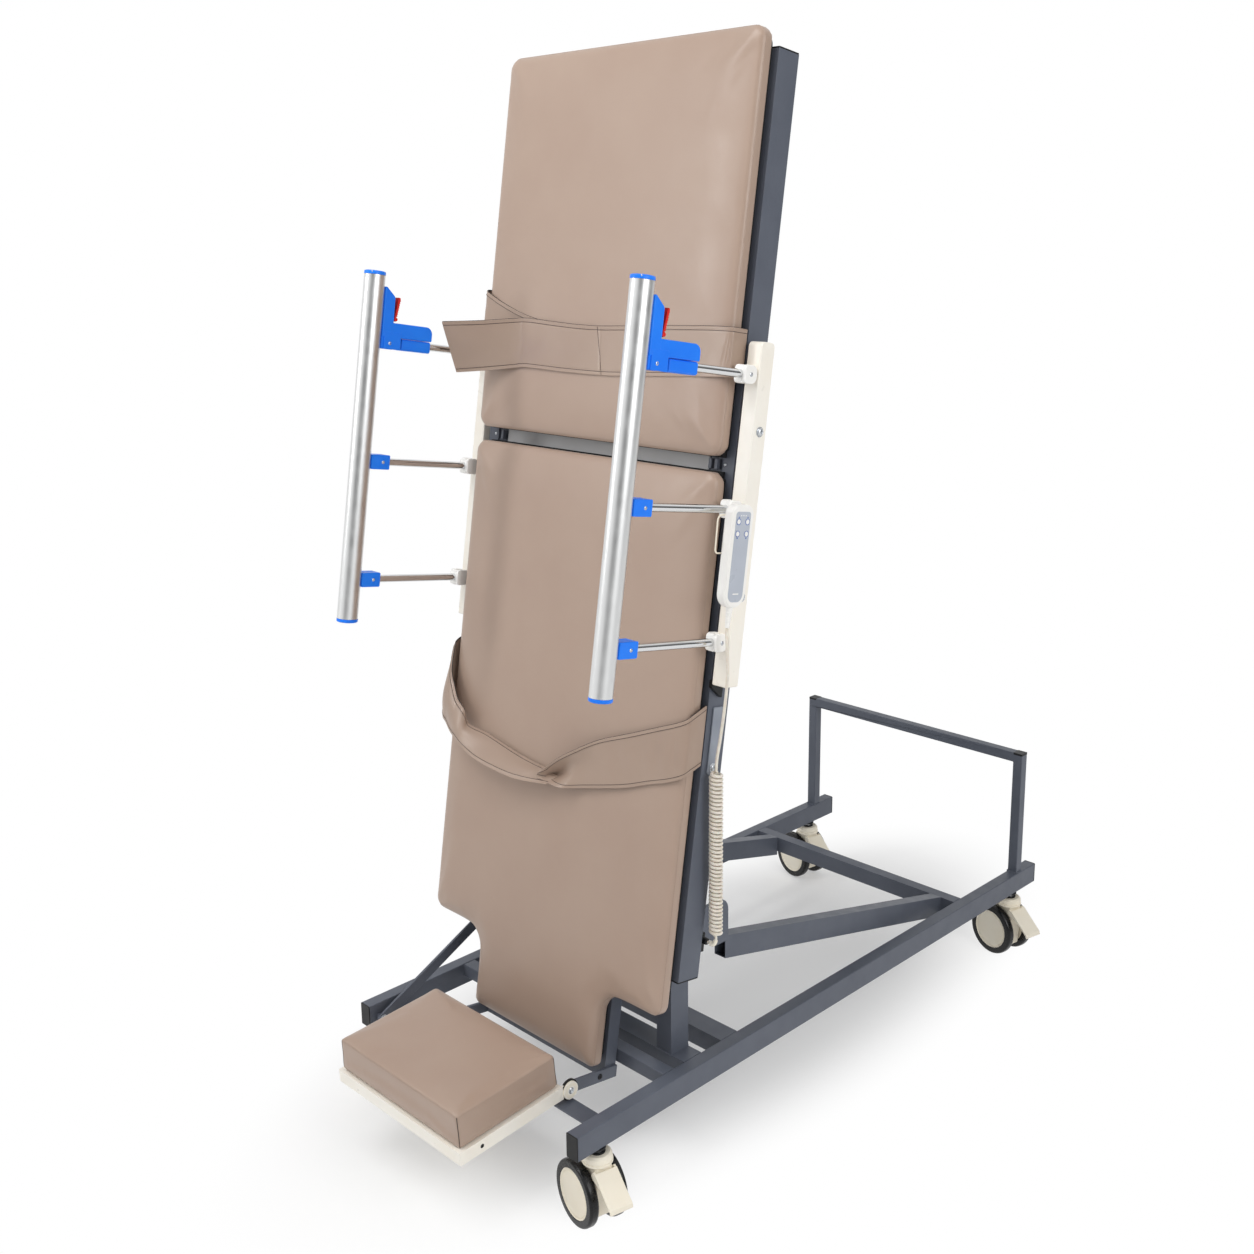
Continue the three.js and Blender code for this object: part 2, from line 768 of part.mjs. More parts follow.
function tongueFrame() {
  const z = [-tongueTubeDeep, 0];
  const half = tubeWall / 2;
  const inner = tongueOuter - tongueTubeWide;
  const top = footTubeAlong - seatGap;
  const armBottom = hingeAlongBed - armTall / 2;
  const footEnd = tongueFrameBottom + tongueFootTall;
  const shapes = [block([-inner - half, inner + half], [tongueFrameBottom, footEnd], z)];
  const bore = block(
    [-inner - 2 * tubeWall, inner + 2 * tubeWall],
    [tongueFrameBottom + tubeWall, footEnd - tubeWall],
    [z[0] + tubeWall, z[1] - tubeWall]);
  for (const [, sign] of sides) {
    shapes.push(openTube('y', onSide(sign, inner, tongueOuter), [tongueFrameBottom, top], z));
    const arm = new THREE.Shape();
    arm.moveTo(armBottom, -tongueTubeDeep + half);
    arm.lineTo(armBottom, hingeBeforeBed);
    arm.absarc(hingeAlongBed, hingeBeforeBed, armTall / 2, Math.PI, 0, true);
    arm.lineTo(armBottom + armTall, -tongueTubeDeep + half);
    arm.closePath();
    shapes.push(slabAcross(arm, onSide(sign, tongueOuter - half / 2, armOuter)));
    const pin = bar(
      'x', hingePinDiameter, onSide(sign, tongueOuter, armOuter + earSheet + hingeDiscThick),
      [0, hingeAlongBed, hingeBeforeBed]);
    shapes.push(pin);
  }
  return cut(join(...shapes), bore);
}
mesh('tongue_frame', tongueFrame(), 'darkPaint', bed);

// Pads: an outline with softened edges, on a thin board set in from the edge
function roundedRect(halfWide, low, high, radius) {
  const shape = new THREE.Shape();
  shape.moveTo(halfWide, low + radius);
  shape.absarc(halfWide - radius, high - radius, radius, 0, Math.PI / 2, false);
  shape.absarc(-halfWide + radius, high - radius, radius, Math.PI / 2, Math.PI, false);
  shape.absarc(-halfWide + radius, low + radius, radius, Math.PI, 3 * Math.PI / 2, false);
  shape.absarc(halfWide - radius, low + radius, radius, -Math.PI / 2, 0, false);
  return shape;
}

function lowerOutline(inset) {
  const wide = padWidth / 2 - inset;
  const tongue = tongueWidth / 2 - inset;
  const top = lowerPadTop - inset;
  const shoulder = lowerPadShoulder + inset;
  const bottom = lowerPadBottom + inset;
  const corner = padCornerRadius - inset / 2;
  const fillet = tongueFillet + inset;
  const foot = tongueCornerRadius - inset / 2;
  const shape = new THREE.Shape();
  shape.moveTo(wide, shoulder + corner);
  shape.absarc(wide - corner, top - corner, corner, 0, Math.PI / 2, false);
  shape.absarc(-wide + corner, top - corner, corner, Math.PI / 2, Math.PI, false);
  shape.absarc(-wide + corner, shoulder + corner, corner, Math.PI, 3 * Math.PI / 2, false);
  shape.absarc(-tongue - fillet, shoulder - fillet, fillet, Math.PI / 2, 0, true);
  shape.absarc(-tongue + foot, bottom + foot, foot, Math.PI, 3 * Math.PI / 2, false);
  shape.absarc(tongue - foot, bottom + foot, foot, -Math.PI / 2, 0, false);
  shape.absarc(tongue + fillet, shoulder - fillet, fillet, Math.PI, Math.PI / 2, true);
  shape.absarc(wide - corner, shoulder + corner, corner, -Math.PI / 2, 0, false);
  return shape;
}

function pad(outlineAt) {
  const board = new THREE.ExtrudeGeometry(
    outlineAt(padBoardInset), { depth: padBoardThick, bevelEnabled: false, curveSegments: padArcSteps });
  board.translate(0, 0, seatGap);
  const cushion = new THREE.ExtrudeGeometry(outlineAt(padEdgeRadius), {
    depth: padThick - 2 * padEdgeRadius,
    bevelSize: padEdgeRadius,
    bevelThickness: padEdgeRadius,
    bevelSegments: 2,
    curveSegments: padArcSteps,
  });
  cushion.translate(0, 0, padBoardThick - seatGap + padEdgeRadius);
  return join(solid(board), solid(cushion));
}
const upperPadTop = bedLength + upperPadPastBed;
const upperOutline = (inset) => roundedRect(
  padWidth / 2 - inset, upperPadAlong + inset, upperPadTop - inset, padCornerRadius - inset / 2);
mesh('upper_pad', pad(upperOutline), 'leatherette', bed);
mesh('lower_pad', pad(lowerOutline), 'leatherette', bed);
const padFace = padBoardThick - seatGap + padThick;

// Side housings: a cream tube beside each side tube, bolted through, with a lug for each rod
const housingInner = bedOuter + housingGap;
const housingOuter = housingInner + housingWide;
const clampMiddle = housingInner + housingWide / 2;
const rodPlaces = [['lower', rodAlongs[0]], ['middle', rodAlongs[1]], ['upper', rodAlongs[2]]];

function housing(side, sign) {
  const z = [housingProud - housingDeep, housingProud];
  const y = [housingAlong, housingAlong + housingLength];
  let shape = openTube('y', onSide(sign, housingInner, housingOuter), y, z);
  const boltZ = housingProud - housingDeep / 2;
  for (const along of housingBoltAlongs) {
    const shank = onSide(sign, bedOuter + seatGap, housingOuter + housingBoltHeadThick);
    const head = onSide(sign, housingOuter - tubeWall / 2, housingOuter + housingBoltHeadThick);
    shape = join(
      shape,
      bar('x', housingBoltDiameter, shank, [0, along, boltZ], smallSides),
      bar('x', housingBoltHeadDiameter, head, [0, along, boltZ], smallSides));
  }
  for (const [, along] of rodPlaces) {
    const outline = earOutline(along, rodPivotBefore, lugRadius, lugRadius, housingProud - tubeWall / 2);
    const x = onSide(sign, clampMiddle - lugThick / 2, clampMiddle + lugThick / 2);
    const holeX = [x[0] - cutOverrun, x[1] + cutOverrun];
    const hole = bar('x', clampPinHole, holeX, [0, along, rodPivotBefore], smallSides);
    shape = join(shape, cut(slabAcross(outline, x), hole));
  }
  if (side === 'right') {
    const pegSpan = [housingProud - tubeWall / 2, housingProud + pegLength];
    shape = join(shape, bar('z', pegDiameter, pegSpan, [clampMiddle, pegAlong, 0], smallSides));
  }
  return shape;
}
for (const [side, sign] of sides) mesh(`side_housing_${side}`, housing(side, sign), 'creamPaint', bed);

// A rod with its cream clamp at the housing and its eye at the side rail
function rod(sign, along, place) {
  const x = onSide(sign, clampMiddle - clampWide / 2, clampMiddle + clampWide / 2);
  const centre = sign * clampMiddle;
  const clamp = new THREE.Shape();
  clamp.moveTo(along - clampRadius, rodPivotBefore);
  clamp.absarc(along, rodPivotBefore, clampRadius, Math.PI, 2 * Math.PI, false);
  clamp.lineTo(along + clampRadius, rodPivotBefore + clampFront);
  clamp.lineTo(along - clampRadius, rodPivotBefore + clampFront);
  clamp.closePath();
  const slotHalf = lugThick / 2 + clampSlotGap;
  const slot = block(
    [centre - slotHalf, centre + slotHalf],
    [along - 2 * clampRadius, along + 2 * clampRadius],
    [rodPivotBefore - 2 * clampRadius, rodPivotBefore + clampSlotDeep]);
  const pinSpan = [x[0] + tubeWall, x[1] - tubeWall];
  const rodSpan = [rodPivotBefore + clampSlotDeep + tubeWall / 2, socketPivotBefore - eyeRadius / 2];
  const shapes = [
    cut(slabAcross(clamp, x), slot),
    bar('x', clampPinDiameter, pinSpan, [0, along, rodPivotBefore], smallSides),
    bar('z', rodDiameter, rodSpan, [centre, along, 0]),
    bar('x', 2 * eyeRadius, [centre - eyeWide / 2, centre + eyeWide / 2], [0, along, socketPivotBefore]),
  ];
  if (place === 'upper') {
    const armEnd = sideRailBefore - sideRailDiameter / 2 - latchArmReach;
    shapes.push(block(
      [centre - sleeveHalfTall, centre + sleeveHalfTall],
      [along - latchCheekDrop, along + sleeveTopAbove],
      [armEnd + sleeveEndSetback, socketPivotBefore - sleeveReachFromPivot]));
  }
  const holeX = [centre - eyeWide, centre + eyeWide];
  return cut(join(...shapes), bar('x', eyePinHole, holeX, [0, along, socketPivotBefore], smallSides));
}

// A blue socket: two cheeks, a web against the rail and a roof, open towards the foot end
const railBack = sideRailBefore - sideRailDiameter / 2 - seatGap;

function socket(sign, along) {
  const centre = sign * clampMiddle;
  const outer = block(
    [centre - socketWide / 2, centre + socketWide / 2],
    [along - socketTall / 2, along + socketTall / 2],
    [socketPivotBefore - socketReach, railBack]);
  const half = socketWide / 2 - socketCheek;
  const hollow = block(
    [centre - half, centre + half],
    [along - socketTall, along + socketTall / 2 - socketCheek + tubeWall],
    [socketPivotBefore - 2 * socketReach, railBack - socketWeb]);
  const pinSpan = [centre - socketWide / 2 + tubeWall, centre + socketWide / 2 - tubeWall];
  const pin = bar('x', eyePinDiameter, pinSpan, [0, along, socketPivotBefore], smallSides);
  return join(cut(outer, hollow), pin);
}

// The latch: a spine up the back of the rail and an arm that covers the sleeve on the rod
function latch(sign, along) {
  const centre = sign * clampMiddle;
  const x = [centre - latchWide / 2, centre + latchWide / 2];
  const half = latchWide / 2 - socketCheek;
  const hollowX = [centre - half, centre + half];
  const armEnd = railBack + seatGap - latchArmReach;
  const outline = new THREE.Shape();
  outline.moveTo(along - latchCheekDrop, railBack);
  outline.lineTo(along + latchLength, railBack);
  outline.lineTo(along + latchLength - latchDeep, railBack - latchDeep);
  outline.lineTo(along + latchArmTop, railBack - latchDeep);
  outline.lineTo(along + latchArmTop, armEnd);
  outline.lineTo(along + sleeveTopAbove + seatGap, armEnd);
  outline.lineTo(along + sleeveTopAbove + seatGap, socketPivotBefore - socketReach);
  outline.lineTo(along - latchCheekDrop, socketPivotBefore - socketReach);
  outline.closePath();
  const hollow = block(
    hollowX,
    [along - socketTall, along + sleeveTopAbove + seatGap],
    [socketPivotBefore - 2 * socketReach, railBack - socketWeb]);
  const leverHalf = leverWide / 2 + seatGap;
  const pocket = block(
    [centre - leverHalf, centre + leverHalf],
    [along + latchArmTop, along + leverAlong + leverLength + leverTipGap],
    [railBack - latchDeep - cutOverrun, railBack - latchDeep + leverPocketDeep]);
  const pinSpan = [x[0] + tubeWall, x[1] - tubeWall];
  const leverPin = [0, along + leverAlong, railBack - latchDeep + leverThick / 2];
  return join(
    cut(slabAcross(outline, x), hollow, pocket),
    bar('x', eyePinDiameter, pinSpan, [0, along, socketPivotBefore], smallSides),
    bar('x', leverPinDiameter, pinSpan, leverPin, smallSides));
}

// The red lever stands proud of the latch's spine and pivots on a pin at its lower end
function lever(sign, along) {
  const centre = sign * clampMiddle;
  const x = [centre - leverWide / 2, centre + leverWide / 2];
  const face = railBack - latchDeep;
  const pinZ = face + leverThick / 2;
  const foot = along + leverAlong;
  const shape = new THREE.Shape();
  shape.moveTo(foot, pinZ + leverThick / 2);
  shape.absarc(foot, pinZ, leverThick / 2, Math.PI / 2, 3 * Math.PI / 2, false);
  shape.lineTo(foot + leverLength / 2, face - leverThick / 2);
  shape.lineTo(foot + leverLength, face - leverThick);
  shape.lineTo(foot + leverLength, face);
  shape.closePath();
  const holeX = [x[0] - cutOverrun, x[1] + cutOverrun];
  const hole = bar('x', leverPinDiameter + 2 * seatGap, holeX, [0, foot, pinZ], smallSides);
  return cut(slabAcross(shape, x), hole);
}

for (const [side, sign] of sides) {
  for (const [place, along] of rodPlaces) {
    mesh(`rail_rod_${place}_${side}`, rod(sign, along, place), 'chrome', bed);
    if (place !== 'upper') mesh(`rail_socket_${place}_${side}`, socket(sign, along), 'bluePlastic', bed);
  }
  const upper = rodAlongs[2];
  mesh(`rail_latch_${side}`, latch(sign, upper), 'bluePlastic', bed);
  mesh(`latch_lever_${side}`, lever(sign, upper), 'redPlastic', bed);
  const span = [sideRailAlong, sideRailAlong + sideRailLength];
  const centre = [sign * clampMiddle, 0, sideRailBefore];
  const outer = bar('y', sideRailDiameter, span, centre, fineSides);
  const boreSpan = [span[0] - cutOverrun, span[1] + cutOverrun];
  const bore = bar('y', sideRailDiameter - 2 * sideRailWall, boreSpan, centre, fineSides);
  mesh(`side_rail_${side}`, cut(outer, bore), 'aluminium', bed);
}

// Footboard: a cream sheet tray on two ears, with its own pad
const footboard = new THREE.Group();
const hingeInBed = new THREE.Vector3(0, hingeAlongBed, hingeBeforeBed);
const hingeInTable = hingeInBed.clone().applyQuaternion(bedTurn).add(bed.position);
footboard.position.copy(hingeInTable);
footboard.rotation.x = footboardPitch;
table.add(footboard);
const trayBack = -trayBehindHinge;
const trayFront = trayBack - trayLength;
const trayLow = -trayDropBelowHinge;

function tray() {
  const outer = block([-trayWidth / 2, trayWidth / 2], [trayFront, trayBack], [trayLow, trayLow + trayLip]);
  const under = block(
    [-trayWidth / 2 + traySheet, trayWidth / 2 - traySheet],
    [trayFront + traySheet, trayBack - traySheet],
    [trayLow - cutOverrun, trayLow + trayLip - traySheet]);
  let shape = cut(outer, under);
  const holeY = trayFront + trayHoleFromFront;
  const reach = trayWidth / 2 + cutOverrun;
  const lipHole = bar('x', trayHoleDiameter, [-reach, reach], [0, holeY, trayLow + trayLip / 2], smallSides);
  shape = cut(shape, lipHole);
  for (const [, sign] of sides) {
    const ear = new THREE.Shape();
    const radius = hingeDiscDiameter / 2;
    ear.moveTo(trayBack - traySheet, trayLow + trayLip);
    ear.lineTo(trayBack - traySheet, trayLow);
    ear.lineTo(0, -radius);
    ear.absarc(0, 0, radius, -Math.PI / 2, Math.PI / 2, false);
    ear.closePath();
    const earX = onSide(sign, armOuter + seatGap, armOuter + seatGap + earSheet);
    shape = join(shape, slabAcross(ear, earX));
    const discX = onSide(sign, armOuter + seatGap, armOuter + seatGap + earSheet + hingeDiscThick);
    shape = join(shape, bar('x', hingeDiscDiameter, discX, [0, 0, 0]));
    const holeX = [discX[0] - cutOverrun, discX[1] + cutOverrun];
    shape = cut(shape, bar('x', hingeHoleDiameter, holeX, [0, 0, 0]));
  }
  return shape;
}
mesh('footboard_tray', tray(), 'creamPaint', footboard);

const footPadBox = new THREE.Shape();
{
  const half = footPadWidth / 2 - padEdgeRadius;
  footPadBox.moveTo(-half, trayFront + footPadSetback + padEdgeRadius);
  footPadBox.lineTo(half, trayFront + footPadSetback + padEdgeRadius);
  footPadBox.lineTo(half, trayBack - footPadSetback - padEdgeRadius);
  footPadBox.lineTo(-half, trayBack - footPadSetback - padEdgeRadius);
  footPadBox.closePath();
}
const footPad = new THREE.ExtrudeGeometry(footPadBox, {
  depth: footPadThick - 2 * padEdgeRadius,
  bevelSize: padEdgeRadius,
  bevelThickness: padEdgeRadius,
  bevelSegments: 2,
});
footPad.translate(0, 0, trayLow + trayLip + seatGap + padEdgeRadius);
mesh('footboard_pad', solid(footPad), 'leatherette', footboard);

// Actuator, from its bracket on the middle cross tube to the clevis behind the bed
const liftInTable = new THREE.Vector3(...liftPin).applyQuaternion(bedTurn).add(bed.position);
const footInTable = new THREE.Vector3(...actuatorFoot);
const reachNow = liftInTable.distanceTo(footInTable);
const actuator = new THREE.Group();
actuator.position.copy(footInTable);
actuator.rotation.x = Math.atan2(liftInTable.z - footInTable.z, liftInTable.y - footInTable.y) - Math.PI / 2;
table.add(actuator);
const rodBore = actuatorRodDiameter + 2 * actuatorRodGap;

function actuatorHousing() {
  const eye = bar('x', 2 * actuatorEyeRadius, [-actuatorEyeWide / 2, actuatorEyeWide / 2], [0, 0, 0]);
  const shank = block(
    [-actuatorEyeWide / 2, actuatorEyeWide / 2],
    [-actuatorEyeWide / 2, actuatorEyeWide / 2],
    [0, actuatorFootReach + tubeWall]);
  const bodyEnd = actuatorFootReach + actuatorBodyLength;
  const body = bar('z', actuatorBodyDiameter, [actuatorFootReach, bodyEnd], [0, 0, 0]);
  const motorSpan = [actuatorFootReach, actuatorFootReach + motorLength];
  const motor = bar('z', motorDiameter, motorSpan, [0, motorOffset, 0]);
  const gearcase = block(
    [-motorDiameter / 2, motorDiameter / 2],
    [0, motorOffset],
    [actuatorFootReach, actuatorFootReach + motorDiameter]);
  const bore = bar('z', rodBore, [actuatorFootReach + motorDiameter, bodyEnd + cutOverrun], [0, 0, 0]);
  const pinHole = bar('x', pinHoleDiameter, [-actuatorEyeWide, actuatorEyeWide], [0, 0, 0]);
  return cut(join(eye, shank, body, motor, gearcase), bore, pinHole);
}
mesh('actuator_housing', actuatorHousing(), 'greyPlate', actuator);

function actuatorRod() {
  const end = reachNow - actuatorRodEndGap;
  const stick = bar('z', actuatorRodDiameter, [end - actuatorRodLength, end], [0, 0, 0]);
  const eye = bar('x', 2 * actuatorEyeRadius, [-actuatorEyeWide / 2, actuatorEyeWide / 2], [0, 0, end]);
  return join(stick, eye);
}
mesh('actuator_rod', actuatorRod(), 'chrome', actuator);

// Handset: hangs on its peg by a hook behind it, faces out from the right side
const handsetBack = housingOuter + handsetFromHousing;
const handsetFace = handsetBack + handsetThick;
const handsetTop = handsetAlong + handsetLength;

function handsetOutline(inset) {
  const half = handsetWide / 2 - inset;
  const low = handsetAlong + inset;
  const high = handsetTop - inset;
  const top = handsetTopRadius - inset;
  const bottom = handsetBottomRadius - inset;
  const shape = new THREE.Shape();
  shape.moveTo(low + bottom, handsetBefore - half);
  shape.absarc(high - top, handsetBefore - half + top, top, -Math.PI / 2, 0, false);
  shape.absarc(high - top, handsetBefore + half - top, top, 0, Math.PI / 2, false);
  shape.absarc(low + bottom, handsetBefore + half - bottom, bottom, Math.PI / 2, Math.PI, false);
  shape.absarc(low + bottom, handsetBefore - half + bottom, bottom, Math.PI, 3 * Math.PI / 2, false);
  return shape;
}

const buttonPlaces = [
  ['button_upper_front', 0, 1], ['button_upper_rear', 0, -1],
  ['button_lower_front', 1, 1], ['button_lower_rear', 1, -1],
];
const buttonAt = (row, sign) => [
  handsetTop - buttonTopRowDown - row * buttonRowPitch, handsetBefore + sign * buttonPitch / 2];

function handset() {
  let body = join(
    slabAcross(handsetOutline(0), [handsetBack + handsetEdge, handsetFace - handsetEdge]),
    slabAcross(handsetOutline(handsetEdge), [handsetBack, handsetFace]));
  for (const [, row, sign] of buttonPlaces) {
    const [along, before] = buttonAt(row, sign);
    const pocket = bar(
      'x', buttonDiameter + 2 * seatGap, [handsetFace - buttonPocket, handsetFace + cutOverrun],
      [0, along, before], smallSides);
    body = cut(body, pocket);
  }
  const hookZ = [housingProud + seatGap + hookThick, housingProud + seatGap + hookThick + hookWide];
  const top = pegAlong + pegDiameter / 2 + hookClearance;
  const inner = clampMiddle - pegDiameter / 2 - hookClearance;
  const crown = block([inner - hookThick, handsetBack + tubeWall], [top, top + hookThick], hookZ);
  const leg = block([inner - hookThick, inner], [top - hookLegBelow, top + hookThick], hookZ);
  const relief = bar(
    'y', reliefEndDiameter, [handsetAlong - reliefLength, handsetAlong + handsetEdge],
    [handsetBack + handsetThick / 2, 0, handsetBefore], smallSides, reliefTopDiameter);
  return join(body, crown, leg, relief);
}
mesh('handset', handset(), 'creamPlastic', bed);

for (const [name, row, sign] of buttonPlaces) {
  const [along, before] = buttonAt(row, sign);
  const span = [handsetFace - buttonPocket + buttonTravel + seatGap, handsetFace + buttonProud];
  const button = bar('x', buttonDiameter, span, [0, along, before], smallSides);
  mesh(`handset_${name}`, button, 'creamPlastic', bed);
}

// The socket behind the lower end of the right side tube, with the sleeve for the cord
const socketOuter = bedOuter - socketFromOuterFace;
const socketFace = -sideTubeDeep - seatGap;
const cordSocket = join(
  block(
    [socketOuter - socketBlockWide, socketOuter],
    [socketAlong, socketAlong + socketLength],
    [socketFace - socketDeep, socketFace]),
  bar(
    'x', socketPinDiameter, [socketOuter - tubeWall, socketOuter + socketPinLength],
    [0, socketPinAlong, -socketPinBehind], smallSides));
mesh('cord_socket', cordSocket, 'blackPlastic', bed);

// The cord's route, in the bed's own frame: from the strain relief down to the coil, and from
// the coil's lower end round into the socket pin. The coil between them hangs plumb.
const leadRoute = [
  [414, 702.6, 44], [414, 692, 43.8], [413.5, 664, 37], [409, 612, 22], [397, 548, 6], [384.5, 488, -6.5],
  [376.6, 448, -12.4], [374, 420.3, -16.8],
];
const tailRoute = [
  [374, 87.8, -69.5], [373.6, 80, -71.2], [371.5, 72.5, -72], [367, 68.5, -72], [361, 68, -72],
  [354.5, 68, -72],
];

// A round cord along a smooth curve through the points of its route
function cordTube(route, steps) {
  const curve = new THREE.CatmullRomCurve3(route.map((point) => new THREE.Vector3(...point)));
  const section = new THREE.Shape();
  section.absarc(0, 0, cordDiameter / 2, 0, 2 * Math.PI, false);
  return solid(new THREE.ExtrudeGeometry(section, {
    steps, extrudePath: curve, bevelEnabled: false, curveSegments: cordSides / 2,
  }));
}
mesh('handset_lead', cordTube(leadRoute, 24), 'curlyCord', bed);
mesh('cord_tail', cordTube(tailRoute, 8), 'curlyCord', bed);

const plumb = new THREE.Vector3(0, 0, -1).applyQuaternion(bedTurn.clone().invert());
const coilTop = new THREE.Vector3(...leadRoute[leadRoute.length - 1]).addScaledVector(plumb, seatGap);
const coilShape = new THREE.CylinderGeometry(coilDiameter / 2, coilDiameter / 2, coilLength, roundSides);
coilShape.applyQuaternion(new THREE.Quaternion().setFromUnitVectors(new THREE.Vector3(0, -1, 0), plumb));
coilShape.translate(...coilTop.addScaledVector(plumb, coilLength / 2).toArray());
mesh('curly_cord', solid(coilShape), 'curlyCord', bed);

// Straps: a thin band whose centre line is a function of the share across the table
function band(centreAt, wide, thick, steps) {
  const positions = [];
  const index = [];
  for (let step = 0; step <= steps; step += 1) {
    const centre = centreAt(step / steps);
    const ahead = centreAt(Math.min(1, (step + 0.5) / steps));
    const behind = centreAt(Math.max(0, (step - 0.5) / steps));
    const along = ahead.sub(behind).normalize();
    const across = new THREE.Vector3(-along.y, Math.hypot(along.x, along.z), 0).normalize();
    const out = along.clone().cross(across).normalize();
    for (const [a, b] of [[-1, 0], [1, 0], [1, 1], [-1, 1]]) {
      const point = centre.clone().addScaledVector(across, a * wide / 2).addScaledVector(out, b * thick);
      positions.push(...point.toArray());
    }
  }
  const quad = (a, b, c, d) => index.push(a, b, c, a, c, d);
  for (let step = 0; step < steps; step += 1) {
    const here = 4 * step;
    const next = here + 4;
    for (let corner = 0; corner < 4; corner += 1) {
      const other = (corner + 1) % 4;
      quad(here + corner, here + other, next + other, next + corner);
    }
  }
  quad(3, 2, 1, 0);
  const last = 4 * steps;
  quad(last, last + 1, last + 2, last + 3);
  const geometry = new THREE.BufferGeometry();
  geometry.setAttribute('position', new THREE.BufferAttribute(new Float32Array(positions), 3));
  geometry.setIndex(index);
  return solid(geometry);
}

// The straps start beside the pad, turn over its edge and cross its face
const strapFace = padFace + strapClear;
const strapSide = padWidth / 2 + strapClear;
const strapTurnRadius = padEdgeRadius + strapClear;
const strapSideShare = 0.06;
const strapTurnShare = 0.12;
const kneeDroopPower = 1.5;

// Where a strap's inner face is in the X and Z plane, for a share of its way across the table
function strapPlace(share) {
  const fromEnd = Math.min(share, 1 - share);
  const sign = share < 0.5 ? -1 : 1;
  const turnX = strapSide - strapTurnRadius;
  const turnZ = strapFace - strapTurnRadius;
  if (fromEnd < strapSideShare) return [sign * strapSide, turnZ * fromEnd / strapSideShare + seatGap];
  if (fromEnd < strapTurnShare) {
    const angle = (fromEnd - strapSideShare) / (strapTurnShare - strapSideShare) * Math.PI / 2;
    return [
      sign * (turnX + strapTurnRadius * Math.cos(angle)),
      turnZ + seatGap + (strapTurnRadius - seatGap) * Math.sin(angle)];
  }
  const across = (fromEnd - strapTurnShare) / (0.5 - strapTurnShare);
  return [sign * turnX * (1 - across), strapFace];
}
const strapSteps = 36;
const chestAt = (share) => {
  const [x, z] = strapPlace(share);
  return new THREE.Vector3(x, chestStrapAlong, z);
};
mesh('chest_strap', band(chestAt, chestStrapWide, strapThick, strapSteps), 'leatherette', bed);

const kneeAt = (share) => {
  const [x, z] = strapPlace(share);
  const fromMiddle = Math.min(1, Math.abs(x) / (strapSide - strapTurnRadius));
  const droop = Math.max(0, Math.cos(Math.PI / 2 * fromMiddle)) ** kneeDroopPower;
  return new THREE.Vector3(x, kneeEndAlong - kneeSag * droop, z + kneeBulge * droop);
};
mesh('knee_strap', band(kneeAt, kneeStrapWide, strapThick, strapSteps), 'leatherette', bed);

const plateX = [bedOuter + seatGap, bedOuter + seatGap + plateThick];
const strapPlate = join(
  block(plateX, [plateAlong, plateAlong + plateLength], [-plateBehind - plateWide, -plateBehind]),
  bar(
    'x', plateBoltDiameter, [plateX[0], plateX[1] + plateBoltThick],
    [0, plateAlong + plateWide / 2, -plateBehind - plateWide / 2], smallSides));
mesh('strap_plate', strapPlate, 'steelPlate', bed);

// The origin is on the floor under the middle of the table's box
table.updateMatrixWorld(true);
const cordNames = ['handset_lead', 'curly_cord', 'cord_tail'];
const box = new THREE.Box3();
table.traverse((piece) => {
  if (piece.isMesh && !cordNames.includes(piece.name)) box.expandByObject(piece, true);
});
table.position.set(-(box.min.x + box.max.x) / 2, -(box.min.y + box.max.y) / 2, -box.min.z);

export default table;
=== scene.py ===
# %% [markdown]
# # A physiotherapy tilt table
# A padded bed stands almost upright on a steel base with four twin casters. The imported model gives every
# frame, pivot and size, so this lesson only dresses it: each piece is drawn where the frame says it is, as
# a surface worked out from a formula, and gets the finish that its real material has.

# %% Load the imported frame
import json
from collections import namedtuple
import bmesh
import bpy
import numpy as np
from mathutils import Matrix, Vector
from mathutils.bvhtree import BVHTree

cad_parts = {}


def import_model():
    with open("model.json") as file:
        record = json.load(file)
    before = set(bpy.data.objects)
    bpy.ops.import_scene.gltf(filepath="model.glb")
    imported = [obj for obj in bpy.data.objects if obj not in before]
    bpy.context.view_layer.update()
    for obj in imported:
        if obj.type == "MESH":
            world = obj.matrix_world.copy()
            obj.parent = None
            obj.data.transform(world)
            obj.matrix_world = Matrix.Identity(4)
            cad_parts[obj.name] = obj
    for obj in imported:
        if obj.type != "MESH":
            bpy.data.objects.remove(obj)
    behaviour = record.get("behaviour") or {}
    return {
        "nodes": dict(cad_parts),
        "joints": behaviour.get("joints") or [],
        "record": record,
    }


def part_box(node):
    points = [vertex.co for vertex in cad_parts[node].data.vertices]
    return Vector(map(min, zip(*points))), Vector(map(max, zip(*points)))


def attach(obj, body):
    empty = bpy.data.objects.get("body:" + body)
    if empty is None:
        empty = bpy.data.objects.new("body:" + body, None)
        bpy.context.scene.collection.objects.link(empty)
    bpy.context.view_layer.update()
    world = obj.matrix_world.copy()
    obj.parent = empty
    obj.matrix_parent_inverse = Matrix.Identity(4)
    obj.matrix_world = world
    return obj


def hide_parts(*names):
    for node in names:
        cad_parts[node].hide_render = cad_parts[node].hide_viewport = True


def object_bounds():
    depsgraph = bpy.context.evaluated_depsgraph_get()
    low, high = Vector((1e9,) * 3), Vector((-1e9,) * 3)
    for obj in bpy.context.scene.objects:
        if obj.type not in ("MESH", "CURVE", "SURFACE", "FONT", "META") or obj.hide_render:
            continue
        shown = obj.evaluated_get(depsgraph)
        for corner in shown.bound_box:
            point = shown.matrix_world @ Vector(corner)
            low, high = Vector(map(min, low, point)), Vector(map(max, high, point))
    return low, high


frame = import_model()
cad_low, cad_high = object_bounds()
MM = 0.001
print("nodes:", len(frame["nodes"]), "box:", cad_low, cad_high)

